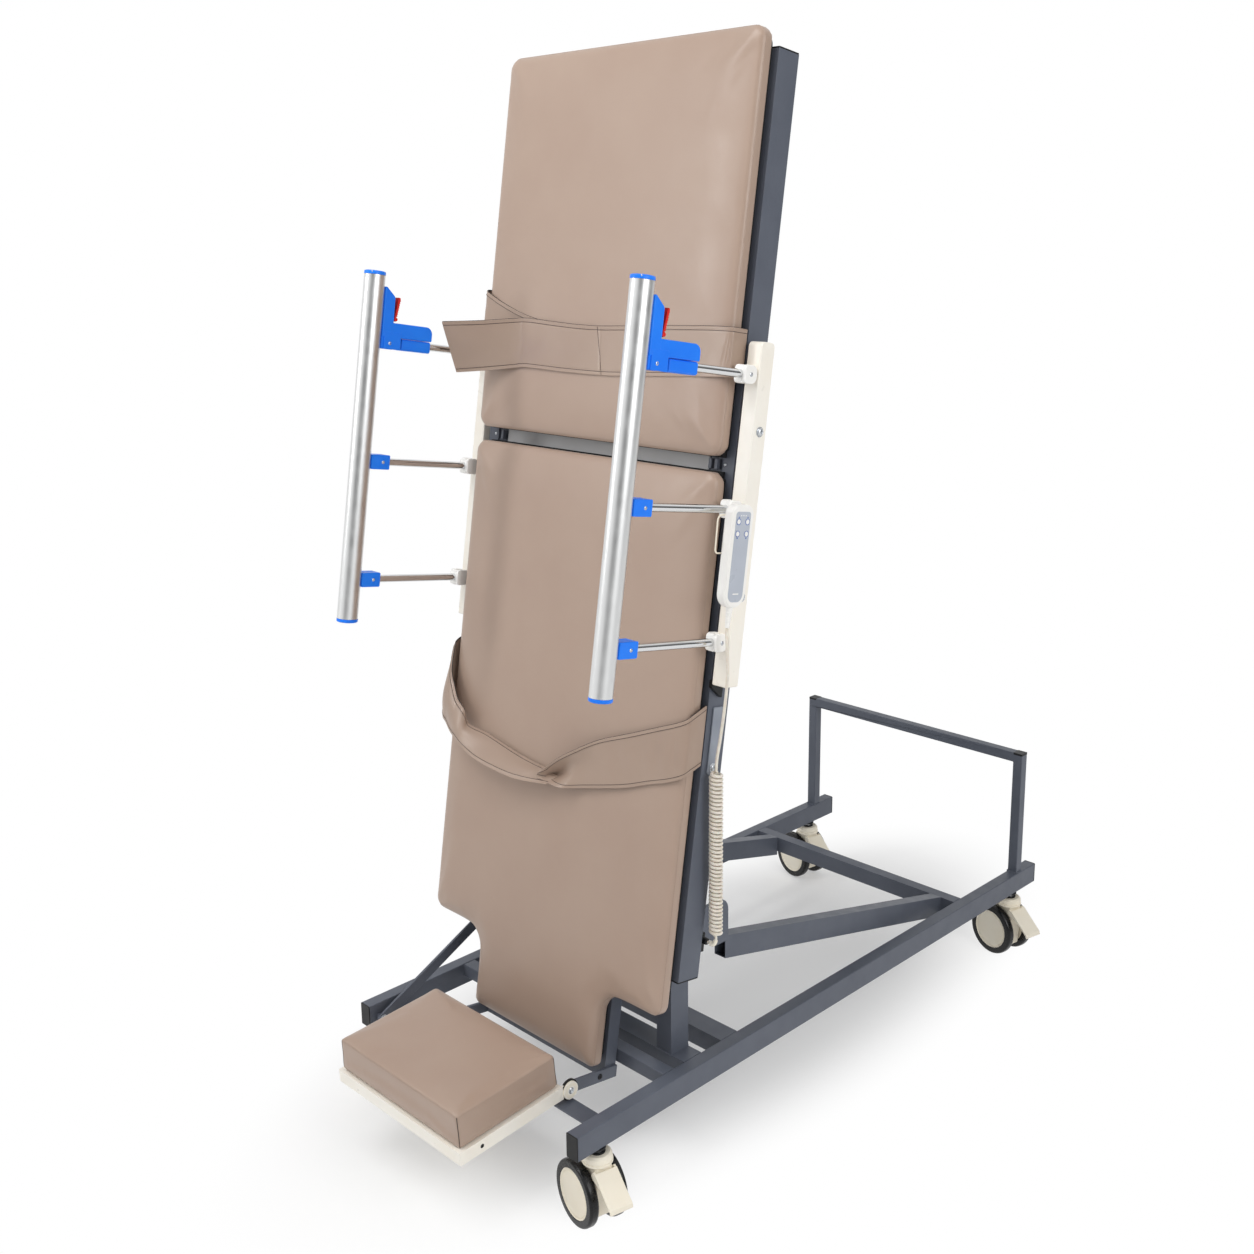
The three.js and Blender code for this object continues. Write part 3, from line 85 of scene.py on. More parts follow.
# %% [markdown]
# ## Frames to draw in
# Nobody measures a tilted bed in room coordinates. Each assembly gets its own origin and axes, read from
# the joints: the bed's second axis runs through the rods' pivots, the footboard's third is its mount's
# axis, and a caster's second axis is its axle. A piece is drawn in millimetres in its own frame and placed
# in one product.

# %% Frames of the base, the bed, the footboard, the actuator and the casters
Place = namedtuple("Place", "origin axes")
joints = {joint["name"]: joint for joint in frame["joints"]}
mounts = {mount["name"]: mount for mount in frame["record"]["mounts"]}
ACROSS = np.array([1.0, 0.0, 0.0])
UP = np.array([0.0, 0.0, 1.0])


def unit(vectors):
    """Vectors divided by their own lengths."""
    return vectors / np.linalg.norm(vectors, axis=-1, keepdims=True)


def place(origin, first, second):
    """A frame whose third axis is the cross product of the first two."""
    return Place(np.array(origin, float), np.array([first, second, np.cross(first, second)]))


def joint_at(name):
    return np.array(joints[name]["pos_m"])


def world(points, where):
    """Millimetres in a frame to metres in the room: origin + the sum of each coordinate times its axis."""
    return where.origin + MM * np.asarray(points, float) @ where.axes


def new_object(name, data):
    """An object for this data, linked to the scene."""
    thing = bpy.data.objects.new(name, data)
    bpy.context.scene.collection.objects.link(thing)
    return thing


middle_x = (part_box("rail_right")[1].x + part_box("rail_left")[0].x) / 2
front_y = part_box("rail_right")[0].y
BASE = place((middle_x, front_y, 0), ACROSS, np.array([0.0, 1.0, 0.0]))
PIVOT_ALONG_BED = 113
PIVOT_BEHIND_BED = 66
along_bed = unit(joint_at("rod_upper_right_fold") - joint_at("rod_lower_right_fold"))
out_of_bed = np.cross(ACROSS, along_bed)
BED = place(
    joint_at("bed_tilt") - MM * PIVOT_ALONG_BED * along_bed + MM * PIVOT_BEHIND_BED * out_of_bed,
    ACROSS, along_bed)
foot_up = np.array(mounts["footboard_face"]["axis"])
FOOT = place(joint_at("footboard_pitch"), ACROSS, np.cross(foot_up, ACROSS))
stick_axis = unit(np.array(joints["actuator_extend"]["axis"]))
ACTUATOR = place(joint_at("actuator_swing"), ACROSS, np.cross(stick_axis, ACROSS))
CORNERS = ("front_right", "front_left", "rear_right", "rear_left")
SIDES = (("right", 1), ("left", -1))


def caster_place(corner):
    """On the floor under the stem, with the second axis along the axle."""
    stem = joint_at(f"caster_{corner}_swivel") * (1, 1, 0)
    axle = unit(np.array(joints[f"wheels_{corner}_roll"]["axis"]))
    return place(stem, np.cross(axle, UP), axle)


CASTERS = {corner: caster_place(corner) for corner in CORNERS}
print("bed origin:", BED.origin.round(3), "footboard:", FOOT.origin.round(3))

# %% [markdown]
# ## Camera
# The photograph looks from the front right, a little above the bed's middle, through a normal lens. The
# camera's place and turn were solved from the straight edges of the table, and the small vertical shift is
# the photograph's own framing.

# %% Camera at the photograph's angle
CAMERA_AT = (2.0580, -2.2845, 1.8242)
CAMERA_AZIMUTH = np.radians(45.36)
CAMERA_DOWN = np.radians(12.42)
CAMERA_ROLL = np.radians(-0.66)
CAMERA_LENS = 41.05
CAMERA_SHIFT = -0.0614

back = np.array([
    np.sin(CAMERA_AZIMUTH) * np.cos(CAMERA_DOWN),
    -np.cos(CAMERA_AZIMUTH) * np.cos(CAMERA_DOWN),
    np.sin(CAMERA_DOWN)])
level = np.array([np.cos(CAMERA_AZIMUTH), np.sin(CAMERA_AZIMUTH), 0.0])
upright = np.cross(back, level)
rolled_level = level * np.cos(CAMERA_ROLL) + upright * np.sin(CAMERA_ROLL)
rolled_upright = upright * np.cos(CAMERA_ROLL) - level * np.sin(CAMERA_ROLL)
turn = Matrix([rolled_level, rolled_upright, back]).transposed()
lens = bpy.data.cameras.new("camera")
lens.lens = CAMERA_LENS
lens.shift_y = CAMERA_SHIFT
camera = new_object("camera", lens)
camera.matrix_world = Matrix.Translation(CAMERA_AT) @ turn.to_4x4()
bpy.context.scene.camera = camera
print("camera looks along", (-back).round(3))

# %% [markdown]
# ## Finishes
# Every surface here is one of a few workshop finishes: powder coat, stove enamel, moulded ABS, leatherette,
# anodised aluminium, chrome, zinc and rubber. A node material could be built by hand in the editor, but
# code keeps each colour as the hex value that a paint chart gives, and each pattern at its size in
# millimetres.

# %% Colour, nodes and a starting shader


def linear(colour):
    """An sRGB hex colour as linear light: c / 12.92 below 0.04045, else ((c + 0.055) / 1.055) ** 2.4."""
    parts = np.array([int(colour[i:i + 2], 16) for i in (1, 3, 5)]) / 255
    light = np.where(parts <= 0.04045, parts / 12.92, ((parts + 0.055) / 1.055) ** 2.4)
    return (*light, 1.0)


def add(tree, kind, inputs=None, **settings):
    """Add a node, set its properties, and fill each named input with a value or a link."""
    node = tree.nodes.new(kind)
    for name, value in settings.items():
        setattr(node, name, value)
    for name, value in (inputs or {}).items():
        if isinstance(value, bpy.types.NodeSocket):
            tree.links.new(value, node.inputs[name])
        else:
            node.inputs[name].default_value = value
    return node


def per(size):
    """Texture scale for a pattern of this size in millimetres."""
    return 1 / (size * MM)


Finish = namedtuple("Finish", "material tree shader spots")


def start(name, colour, roughness, metallic=0.0, **sockets):
    """A material with its base values, and the object's own coordinates to hang patterns on."""
    material = bpy.data.materials.new(name)
    material.use_nodes = True
    tree = material.node_tree
    shader = tree.nodes["Principled BSDF"]
    values = {"Base Color": linear(colour), "Roughness": roughness, "Metallic": metallic, **sockets}
    for socket, value in values.items():
        shader.inputs[socket].default_value = value
    spots = add(tree, "ShaderNodeTexCoord").outputs["Object"]
    return Finish(material, tree, shader, spots)


def mottle(look, dark, light, size, low=0.35, high=0.65):
    """Colour drifts between two near shades with a soft noise of the given size."""
    noise = add(look.tree, "ShaderNodeTexNoise", {"Vector": look.spots, "Scale": per(size), "Detail": 4.0})
    share = add(look.tree, "ShaderNodeMapRange", {
        "Value": noise.outputs["Fac"], "From Min": low, "From Max": high})
    mix = add(look.tree, "ShaderNodeMix", {
        "Factor": share.outputs["Result"], 6: linear(dark), 7: linear(light)}, data_type="RGBA")
    look.tree.links.new(mix.outputs[2], look.shader.inputs["Base Color"])


def uneven(look, least, most, size):
    """Roughness drifts between two values, as handling and dust leave it."""
    noise = add(look.tree, "ShaderNodeTexNoise", {"Vector": look.spots, "Scale": per(size), "Detail": 3.0})
    rough = add(look.tree, "ShaderNodeMapRange", {
        "Value": noise.outputs["Fac"], "From Min": 0.3, "From Max": 0.7, "To Min": least, "To Max": most})
    look.tree.links.new(rough.outputs["Result"], look.shader.inputs["Roughness"])


def relief(look, height, depth, strength=1.0):
    """Bump from a height between 0 and 1 that stands for a depth in millimetres."""
    bump = add(look.tree, "ShaderNodeBump", {"Height": height, "Distance": depth * MM, "Strength": strength})
    look.tree.links.new(bump.outputs["Normal"], look.shader.inputs["Normal"])
    return bump


def orange_peel(look, size, depth):
    """The faint hammered skin of sprayed or moulded surfaces."""
    noise = add(look.tree, "ShaderNodeTexNoise", {"Vector": look.spots, "Scale": per(size), "Detail": 2.0})
    relief(look, noise.outputs["Fac"], depth)


# %% [markdown]
# The frame is powder coated in a blue grey: a thick, slightly hammered film with a soft shine. The covers,
# clamps and casters are cream enamel or cream ABS, and the latches and caps are blue ABS. Sprayed and
# moulded skins get the same recipe at different sizes: a drift of shade, an uneven shine and orange peel.

# %% Painted and moulded finishes


def coated(name, dark, light, roughness, peel, depth, **sockets):
    """A coat or moulding: its two shades, its roughness, and the size and depth of its orange peel."""
    look = start(name, light, roughness, **sockets)
    mottle(look, dark, light, 90)
    uneven(look, roughness - 0.05, roughness + 0.07, 30)
    orange_peel(look, peel, depth)
    return look.material


DULL = {"Specular IOR Level": 0.3}
powder_coat = coated("powder_coated_steel", "#595e69", "#5e636e", 0.40, 2.2, 0.05, **DULL)
cream_enamel = coated("cream_stove_enamel", "#f7f1e5", "#f9f5ec", 0.32, 3.0, 0.03)
cream_abs = coated("moulded_cream_abs", "#f3ead6", "#f6efde", 0.42, 0.9, 0.03)
white_abs = coated("moulded_white_abs", "#f5f3ee", "#f9f8f5", 0.38, 0.9, 0.03)
blue_abs = coated("moulded_blue_abs", "#197bfa", "#2084ff", 0.36, 0.9, 0.03, **DULL)
red_abs = coated("moulded_red_abs", "#cd1b18", "#e02622", 0.40, 0.9, 0.03, **DULL)
black_nylon = coated("moulded_black_nylon", "#0f1012", "#16171a", 0.42, 1.2, 0.04, **DULL)
grey_enamel = coated("grey_enamelled_sheet", "#8c8d8e", "#929394", 0.42, 2.5, 0.03)
# The gap plate's enamel is painted paler than its real mid grey: painted light that makes up for the shade it
# sits in between the pads.
lightened_gap_plate_enamel = coated("grey_enamel_painted_lighter_against_gap_shade", "#b1b2b3", "#b7b8b9", 0.40, 2.5, 0.03)
strap_steel = coated("painted_strap_steel", "#838994", "#9399a4", 0.38, 2.0, 0.04)
membrane = coated("polyester_keypad_film", "#b4bac5", "#bcc2cd", 0.30, 1.5, 0.01)
blue_print = coated("blue_printing_ink", "#355ca6", "#3f6aba", 0.45, 1.5, 0.01)
# Black for the boards behind the pads: partly the boards' own dark colour, partly painted shade for the dark
# gaps between the pads and the frame.
gap_shadow = coated("black_board_and_painted_gap_shade", "#101012", "#18181b", 0.85, 1.5, 0.2)
print("painted and moulded finishes:", len(bpy.data.materials))

# %% [markdown]
# Leatherette is a vinyl film on cloth, embossed with a pebble grain. The real pebbles are under a
# millimetre and would vanish at this distance, so they are drawn at 1.6 mm. Slow, shallow waves stand for
# the foam that gives under the cover.

# %% Leatherette for pads and straps


def leatherette(name, dark, light, roughness):
    look = start(name, light, roughness, **{"Sheen Weight": 0.08, "Sheen Roughness": 0.5})
    mottle(look, dark, light, 160, 0.3, 0.7)
    uneven(look, roughness - 0.05, roughness + 0.05, 60)
    pebbles = add(look.tree, "ShaderNodeTexVoronoi", {
        "Vector": look.spots, "Scale": per(1.6), "Smoothness": 0.4}, feature="SMOOTH_F1")
    grain = relief(look, pebbles.outputs["Distance"], 0.10, 0.5)
    waves = add(look.tree, "ShaderNodeTexNoise", {"Vector": look.spots, "Scale": per(70), "Detail": 2.0})
    soft = add(look.tree, "ShaderNodeBump", {
        "Height": waves.outputs["Fac"], "Distance": 2.5 * MM, "Strength": 0.35})
    look.tree.links.new(soft.outputs["Normal"], grain.inputs["Normal"])
    return look.material


pad_cover = leatherette("tan_vinyl_leatherette", "#a99181", "#ad9686", 0.36)
strap_cover = leatherette("tan_vinyl_webbing_cover", "#a38c7c", "#a89282", 0.34)
seam_thread = coated("dark_polyester_thread", "#453932", "#50433b", 0.6, 0.8, 0.1)
# A near-black cord along a strap's edge, drawn as painted shadow where the strap stands off the pad.
painted_shadow_cord = coated("black_painted_shadow_cord", "#151210", "#1f1b19", 0.5, 1.0, 0.1)

# %% [markdown]
# The side rails are satin anodised aluminium: drawn tube whose fine lines run lengthways, so the noise is
# stretched along the bed. The rods are bright chrome, the screws zinc, and the tyres hard black rubber with
# a slight gloss. The cord's jacket is cream polyurethane.

# %% Metals, rubber and the cord's jacket
BED_LEAN = np.arctan2(along_bed[2], along_bed[1])
satin_look = start("satin_anodised_aluminium", "#d9dada", 0.34, 1.0)
lengthways = add(satin_look.tree, "ShaderNodeMapping", {
    "Vector": satin_look.spots, "Rotation": (BED_LEAN - np.pi / 2, 0, 0), "Scale": (1, 1, 50)},
    vector_type="TEXTURE")
drawn = add(satin_look.tree, "ShaderNodeTexNoise", {
    "Vector": lengthways.outputs["Vector"], "Scale": per(0.8)})
relief(satin_look, drawn.outputs["Fac"], 0.02, 0.5)
uneven(satin_look, 0.30, 0.40, 25)
satin_aluminium = satin_look.material

chrome_look = start("bright_chrome_plate", "#d9dadb", 0.07, 1.0)
uneven(chrome_look, 0.05, 0.12, 18)
chrome = chrome_look.material
zinc_look = start("zinc_plated_steel", "#ccd0d3", 0.28, 1.0)
mottle(zinc_look, "#b8bbc0", "#ccd0d3", 4)
uneven(zinc_look, 0.22, 0.36, 3)
zinc = zinc_look.material
rubber_look = start("hard_black_rubber", "#121315", 0.26, **DULL)
mottle(rubber_look, "#0b0c0d", "#121315", 12)
uneven(rubber_look, 0.22, 0.34, 9)
tyre_rubber = rubber_look.material
jacket_look = start("cream_polyurethane_jacket", "#eee6da", 0.42, **{"Subsurface Weight": 0.05})
mottle(jacket_look, "#e4dacb", "#eee6da", 10)
cord_jacket = jacket_look.material
print("finishes:", [material.name for material in bpy.data.materials])

# %% [markdown]
# ## The cord comes first
# The handset's lead runs down the housing, coils forty-two times where it hangs, and turns behind the side
# tube into its socket. A curly cord could be a spring made with a screw modifier, but one open curve
# through lead, helix and tail keeps its true length. The lead and the tail are smooth curves through listed
# points, and the helix is an angle that grows evenly while the centre drops from one end to the
# other.

# %% Lead, coil and tail as one curve
CORD = 6
COIL = 28
COIL_TURNS = 42
TURN_POINTS = 16
COIL_EASE = 0.9
LEAD_ROUTE = [[414, 702.6, 44], [414, 692, 43.8], [413.5, 664, 37], [409, 612, 22], [397, 548, 6],
              [384.5, 488, -6.5], [376.6, 448, -12.4], [374, 420.3, -16.8]]
TAIL_ROUTE = [[374, 87.8, -69.5], [373.6, 80, -71.2], [371.5, 72.5, -72], [367, 68.5, -72],
              [361, 68, -72], [354.5, 68, -72]]


def through(points, steps=5):
    """Catmull-Rom curve: each span is a cubic whose end slopes are half the chord of its neighbours."""
    points = np.asarray(points, float)
    spread = np.vstack([2 * points[0] - points[1], points, 2 * points[-1] - points[-2]])
    a, b, c, d = spread[:-3], spread[1:-2], spread[2:-1], spread[3:]
    t = (np.arange(steps) / steps)[:, None, None]
    square, cube = 2 * a - 5 * b + 4 * c - d, 3 * b - a - 3 * c + d
    spans = (2 * b + (c - a) * t + square * t ** 2 + cube * t ** 3) / 2
    return np.vstack([spans.transpose(1, 0, 2).reshape(-1, points.shape[1]), points[-1:]])


def run_along(path):
    """The distance walked along a path at each of its points."""
    return np.concatenate([[0], np.cumsum(np.linalg.norm(np.diff(path, axis=0), axis=1))])


def at_runs(path, runs):
    """The places on a path where these distances have been walked."""
    return np.stack([np.interp(runs, run_along(path), values) for values in np.transpose(path)], 1)


def smooth(share):
    """Ease from 0 to 1: 3 s squared minus 2 s cubed."""
    share = np.clip(share, 0, 1)
    return share * share * (3 - 2 * share)


lead = world(through(LEAD_ROUTE), BED)
tail = world(through(TAIL_ROUTE), BED)
share = np.linspace(0, 1, COIL_TURNS * TURN_POINTS + 1)[1:-1]
around = 2 * np.pi * COIL_TURNS * share
reach = (COIL - CORD) / 2 * MM * smooth(np.minimum(share, 1 - share) * COIL_TURNS / COIL_EASE)
centres = lead[-1] + share[:, None] * (tail[0] - lead[-1])
helix = centres + reach[:, None] * np.stack([np.cos(around), np.sin(around), 0 * around], 1)
route = np.vstack([lead, helix, tail])

cord_curve = bpy.data.curves.new("handset_cord", "CURVE")
cord_curve.dimensions = "3D"
cord_curve.bevel_depth = CORD / 2 * MM
cord_curve.bevel_resolution = 3
cord_curve.use_fill_caps = True
spline = cord_curve.splines.new("POLY")
spline.points.add(len(route) - 1)
spline.points.foreach_set("co", np.hstack([route, np.ones((len(route), 1))]).ravel())
spline.use_smooth = True
handset_cord = new_object("handset_cord", cord_curve)
cord_curve.materials.append(cord_jacket)
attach(handset_cord, "bed")
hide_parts("handset_lead", "curly_cord", "cord_tail")

# %% [markdown]
# ## Drawing solids
# Sheet, tube, bar and moulded parts are all outlines carried along a line, and round ones are profiles
# turned about an axis. A handful of functions makes both as whole arrays. Every edge gets a small real
# radius, because it is the edge that catches the light.

# %% Outlines


def fillet(corners, radii, steps=6, closed=True):
    """Each corner becomes an arc: its centre lies on the bisector at radius / sin(half the corner)."""
    corners = np.asarray(corners, float)
    radii = np.broadcast_to(np.asarray(radii, float), len(corners))[:, None]
    to_last = unit(np.roll(corners, 1, 0) - corners)
    to_next = unit(np.roll(corners, -1, 0) - corners)
    cosine = np.clip((to_last * to_next).sum(1, keepdims=True), -0.9999, 0.9999)
    half = np.arccos(cosine) / 2
    centre = corners + unit(to_last + to_next) * radii / np.sin(half)
    first = corners + to_last * radii / np.tan(half) - centre
    last = corners + to_next * radii / np.tan(half) - centre
    swept = np.pi - 2 * half
    share = np.linspace(0, 1, steps)[:, None, None]
    arcs = (np.sin((1 - share) * swept) * first + np.sin(share * swept) * last) / np.sin(swept)
    arcs = (centre + arcs).transpose(1, 0, 2)
    if closed:
        return arcs.reshape(-1, corners.shape[1])
    return np.vstack([corners[:1], arcs[1:-1].reshape(-1, corners.shape[1]), corners[-1:]])


def rounded(first, second, radii, steps=6):
    """A rectangle from its limits in two coordinates, filleted anticlockwise from its low corner."""
    (a, b), (c, d) = first, second
    return fillet([(a, c), (b, c), (b, d), (a, d)], radii, steps)


def even_angles(count):
    return 2 * np.pi * np.arange(count) / count


def circle(radius, sides=32, centre=(0, 0), squash=1.0):
    """Points at even angles; squash scales the second coordinate for an oval."""
    angle = even_angles(sides)
    return np.stack([np.cos(angle), squash * np.sin(angle)], 1) * radius + centre


def inset(outline, distance):
    """Move each point inwards along its mitre: the two edge normals' sum over 1 + their dot product."""
    ahead = unit(np.roll(outline, -1, 0) - outline)
    normal = np.stack([-ahead[:, 1], ahead[:, 0]], 1)
    before = np.roll(normal, 1, 0)
    mitre = (normal + before) / (1 + (normal * before).sum(1, keepdims=True))
    return outline + distance * mitre


def anticlockwise(outline):
    """Turn the outline round if its signed area, half the sum of cross products, is negative."""
    outline = np.asarray(outline, float)
    ahead = np.roll(outline, -1, 0)
    area = (outline[:, 0] * ahead[:, 1] - outline[:, 1] * ahead[:, 0]).sum()
    return outline if area > 0 else outline[::-1]


# %% Shells from rings of points


def skin(rings, loop=False):
    """Join rings (rings x points x 3) with quads, and close them with end faces or into a loop."""
    rings = np.asarray(rings, float)
    count, sides = rings.shape[:2]
    here = np.arange(count * sides).reshape(count, sides)
    beyond = np.roll(here, -1, 0) if loop else here[1:]
    near = here if loop else here[:-1]
    quads = np.stack([near, np.roll(near, -1, 1), np.roll(beyond, -1, 1), beyond], -1).reshape(-1, 4)
    faces = quads.tolist()
    if not loop:
        faces += [here[0, ::-1].tolist(), here[-1].tolist()]
    return rings.reshape(-1, 3), faces


def levels(outlines, heights):
    """Give each outline its own height as a third coordinate."""
    return [np.column_stack([ring, np.full(len(ring), height)]) for ring, height in zip(outlines, heights)]


def prism(outline, low, high, edge=0.8, steps=4):
    """An outline between two levels. Near each end it is inset by edge (1 - sin t) while the level
    moves edge (1 - cos t) away from the end, so that the edge is a quarter round."""
    outline = anticlockwise(outline)
    turn = np.linspace(0, np.pi / 2, steps)
    inwards = edge * (1 - np.sin(turn))
    along = edge * (1 - np.cos(turn))
    rings = [inset(outline, distance) for distance in inwards]
    return skin(levels(rings + rings[::-1], [*(low + along), *(high - along[::-1])]))


def tube(outline, wall, low, high, edge=0.6):
    """A hollow outline: up the outside, over the rim, down the inside and back under."""
    outline = anticlockwise(outline)
    inwards = [edge, 0, 0, edge, wall - edge, wall, wall, wall - edge]
    heights = [low, low + edge, high - edge, high, high, high - edge, low + edge, low]
    return skin(levels([inset(outline, distance) for distance in inwards], heights), loop=True)


def lathe(profile, sides=40, loop=False):
    """Radius and height pairs turned about the third axis: (r cos t, r sin t, h)."""
    radius, height = np.asarray(profile, float).T
    angle = even_angles(sides)
    rings = np.stack([
        np.outer(radius, np.cos(angle)), np.outer(radius, np.sin(angle)),
        np.repeat(height[:, None], sides, 1)], -1)
    return skin(rings, loop=loop)


def round_bar(radius, low, high, sides=40, bore=0):
    """A plain cylinder, or a ring where it has a bore."""
    return lathe([(bore, low), (radius, low), (radius, high), (bore, high)], sides, loop=bore > 0)


def sweep(path, radius, side, sides=12, loop=False):
    """A round section carried along a path; its first axis is the side vector less its part along
    the path, and its second is across both."""
    path = np.asarray(path, float)
    ahead = unit(np.roll(path, -1, 0) - np.roll(path, 1, 0) if loop else np.gradient(path, axis=0))
    side = np.asarray(side, float)
    first = unit(side - (ahead @ side)[:, None] * ahead)
    second = np.cross(ahead, first)
    angle = even_angles(sides)
    radius = np.broadcast_to(radius, len(path))[:, None, None]
    ring = np.cos(angle)[None, :, None] * first[:, None] + np.sin(angle)[None, :, None] * second[:, None]
    return skin(path[:, None] + radius * ring, loop=loop)


# %% Turning, moving and joining shells


def aimed(shell, axis, centre=(0, 0, 0), sign=1):
    """Point the shell's third coordinate along X, Y or Z, forwards or back, and move it to its centre."""
    points, faces = shell
    order = {"x": (2, 0, 1), "y": (1, 2, 0), "z": (0, 1, 2)}[axis]
    flipped = points * (1, 1, sign)
    return flipped[:, order] + centre, faces


def across(outline, low, high, edge=0.8, steps=4):
    """A prism whose outline lies in Y and Z and whose thickness runs along X."""
    return aimed(prism(outline, low, high, edge, steps), "x")


def along_axle(outline, low, high, edge, steps=4):
    """A prism whose outline lies in X and Z and whose thickness runs along Y."""
    return aimed(prism(outline[:, ::-1], low, high, edge, steps), "y")


def slab(one, other, axis="z", corner=1.5, edge=0.8):
    """A box between two opposite corners, rounded across the named axis and at its ends."""
    low, high = np.minimum(one, other), np.maximum(one, other)
    pair = {"x": [1, 2], "y": [2, 0], "z": [0, 1]}[axis]
    along = "xyz".index(axis)
    outline = rounded(*zip(low[pair], high[pair]), corner)
    return aimed(prism(outline, low[along], high[along], edge), axis)


def together(shells):
    """One list of points and faces from many shells."""
    points, faces, start_at = [], [], 0
    for spots, loops in shells:
        points.append(spots)
        faces += [[index + start_at for index in loop] for loop in loops]
        start_at += len(spots)
    return np.vstack(points), faces


def on_side(sign, near, far):
    """The two limits along X of a piece that starts at one distance from the middle."""
    return sorted((sign * near, sign * far))


# %% [markdown]
# A finished piece is one mesh in the room's own coordinates. Doubles at the poles are merged, normals are
# turned outwards, sharp edges are marked by angle, and flat faces keep an even shade through the weighted
# normals modifier.

# %% Making a piece
DOUBLES_WITHIN = 0.002


def piece(name, shells, where, material, body, stands_for=None, crease=38):
    """Shells in a frame's millimetres become one named object that rides on a body."""
    points, faces = together(shells)
    mesh = bpy.data.meshes.new(name)
    mesh.from_pydata(world(points, where).tolist(), [], faces)
    shape = bmesh.new()
    shape.from_mesh(mesh)
    bmesh.ops.remove_doubles(shape, verts=shape.verts, dist=DOUBLES_WITHIN * MM)
    bmesh.ops.recalc_face_normals(shape, faces=shape.faces)
    shape.to_mesh(mesh)
    shape.free()
    mesh.shade_smooth()
    mesh.set_sharp_from_angle(angle=np.radians(crease))
    mesh.materials.append(material)
    thing = new_object(name, mesh)
    even = thing.modifiers.new("even shading", "WEIGHTED_NORMAL")
    even.keep_sharp = True
    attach(thing, body)
    if stands_for:
        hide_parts(stands_for)
    return thing


def screw(radius, height, key, sides=36):
    """A domed head up a quarter ellipse, with a hexagonal hole: at angle t from a flat its radius is
    key / 2 / cos t."""
    angle = even_angles(sides)
    from_flat = (angle + np.pi / 6) % (np.pi / 3) - np.pi / 6
    hexagon = key / 2 / np.cos(from_flat)
    rise = np.linspace(0, np.pi / 2, 5)[:-1]
    radii = [radius * np.cos(t) ** 0.5 + 0 * angle for t in rise] + [hexagon * 1.1, hexagon, hexagon]
    heights = [*(height * np.sin(rise)), height, height - 0.2, height * 0.35]
    return skin([np.column_stack([r * np.cos(angle), r * np.sin(angle), 0 * angle + h])
                 for r, h in zip(radii, heights)])


def washer(radius, bore, thick):
    """A flat ring with softened rims."""
    soft = 0.15 * thick
    return lathe([(bore, 0), (radius - soft, 0), (radius, soft), (radius, thick - soft),
                  (radius - soft, thick), (bore, thick)], 36, loop=True)


def bolt(at, sign, head, ring):
    """A screw head on its washer, both pointing along X: head and ring are the sizes of the two."""
    seat = np.asarray(at, float) + (sign * (ring[2] - 0.2), 0, 0)
    return [aimed(washer(*ring), "x", at, sign), aimed(screw(*head), "x", seat, sign)]


# %% [markdown]
# ## Steel frame
# The base and the bed are welded from square and rectangular tube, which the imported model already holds.
# Their shapes are right, so they keep their own meshes: the Weld modifier joins the loose triangles and
# Bevel gives each edge the small radius that drawn tube and a thick coat have.

# %% Coats and edges on the carried frame
EDGE_RADIUS = 2.0
SHEET_EDGE_RADIUS = 0.6
FRAME_NODES = ("rail_right", "rail_left", "front_cross_bar", "cross_tube_front", "post_frame",
               "cross_tube_mid", "brace_frame", "rear_hoop", "post_stay", "bed_frame", "tongue_frame")


def coat_node(name, material, radius):
    """Give a carried node its material and round its edges."""
    thing = frame["nodes"][name]
    thing.data.materials.clear()
    thing.data.materials.append(material)
    weld = thing.modifiers.new("weld", "WELD")
    weld.merge_threshold = 0.01 * MM
    bevel = thing.modifiers.new("edges", "BEVEL")
    bevel.width = radius * MM
    bevel.segments = 2
    bevel.limit_method = "ANGLE"
    bevel.angle_limit = np.radians(40)
    bevel.harden_normals = True
    bevel.use_clamp_overlap = True


for node_name in FRAME_NODES:
    coat_node(node_name, powder_coat, EDGE_RADIUS)
# The gap plate gets the paler enamel, as painted light against the shade between the pads.
coat_node("gap_plate", lightened_gap_plate_enamel, SHEET_EDGE_RADIUS)
print("coated frame nodes:", len(FRAME_NODES) + 1)

# %% [markdown]
# ## Base details
# Black plastic caps close the open ends of the tubes. Welds show as narrow rippled beads where one tube
# stands on another: a round section carried round the joint, whose radius rises and falls as the weld pool
# did.

# %% Caps in the tube ends
RAIL_INNER, RAIL_OUTER = 312.5, 342.5
RAIL_LOW, RAIL_TOP = 167, 217
RAIL_LENGTH = 1620
CAP_PLUG = 9
CAP_WALL = 3.2
CAP_SUNK = 0.48


def end_cap(x_limits, z_limits, face, way, proud, over, corner):
    """A black plug in a tube along Y: a flat flange over the rim and a shorter plug inside it."""
    (x0, x1), (z0, z1) = x_limits, z_limits
    flange = slab((x0 - over, face, z0 - over), (x1 + over, face + way * proud, z1 + over), "y", corner)
    plug = slab((x0 + CAP_WALL, face, z0 + CAP_WALL), (x1 - CAP_WALL, face - way * CAP_PLUG, z1 - CAP_WALL),
                "y", 1.5, 0.4)
    return [flange, plug]


for side, sign in SIDES:
    shells = []
    for face, way in ((CAP_SUNK, -1), (RAIL_LENGTH - CAP_SUNK, 1)):
        shells += end_cap(on_side(sign, RAIL_INNER, RAIL_OUTER), (RAIL_LOW, RAIL_TOP), face, way, 2.4, 0, 2.5)
    piece(f"rail_caps_{side}", shells, BASE, black_nylon, "base")

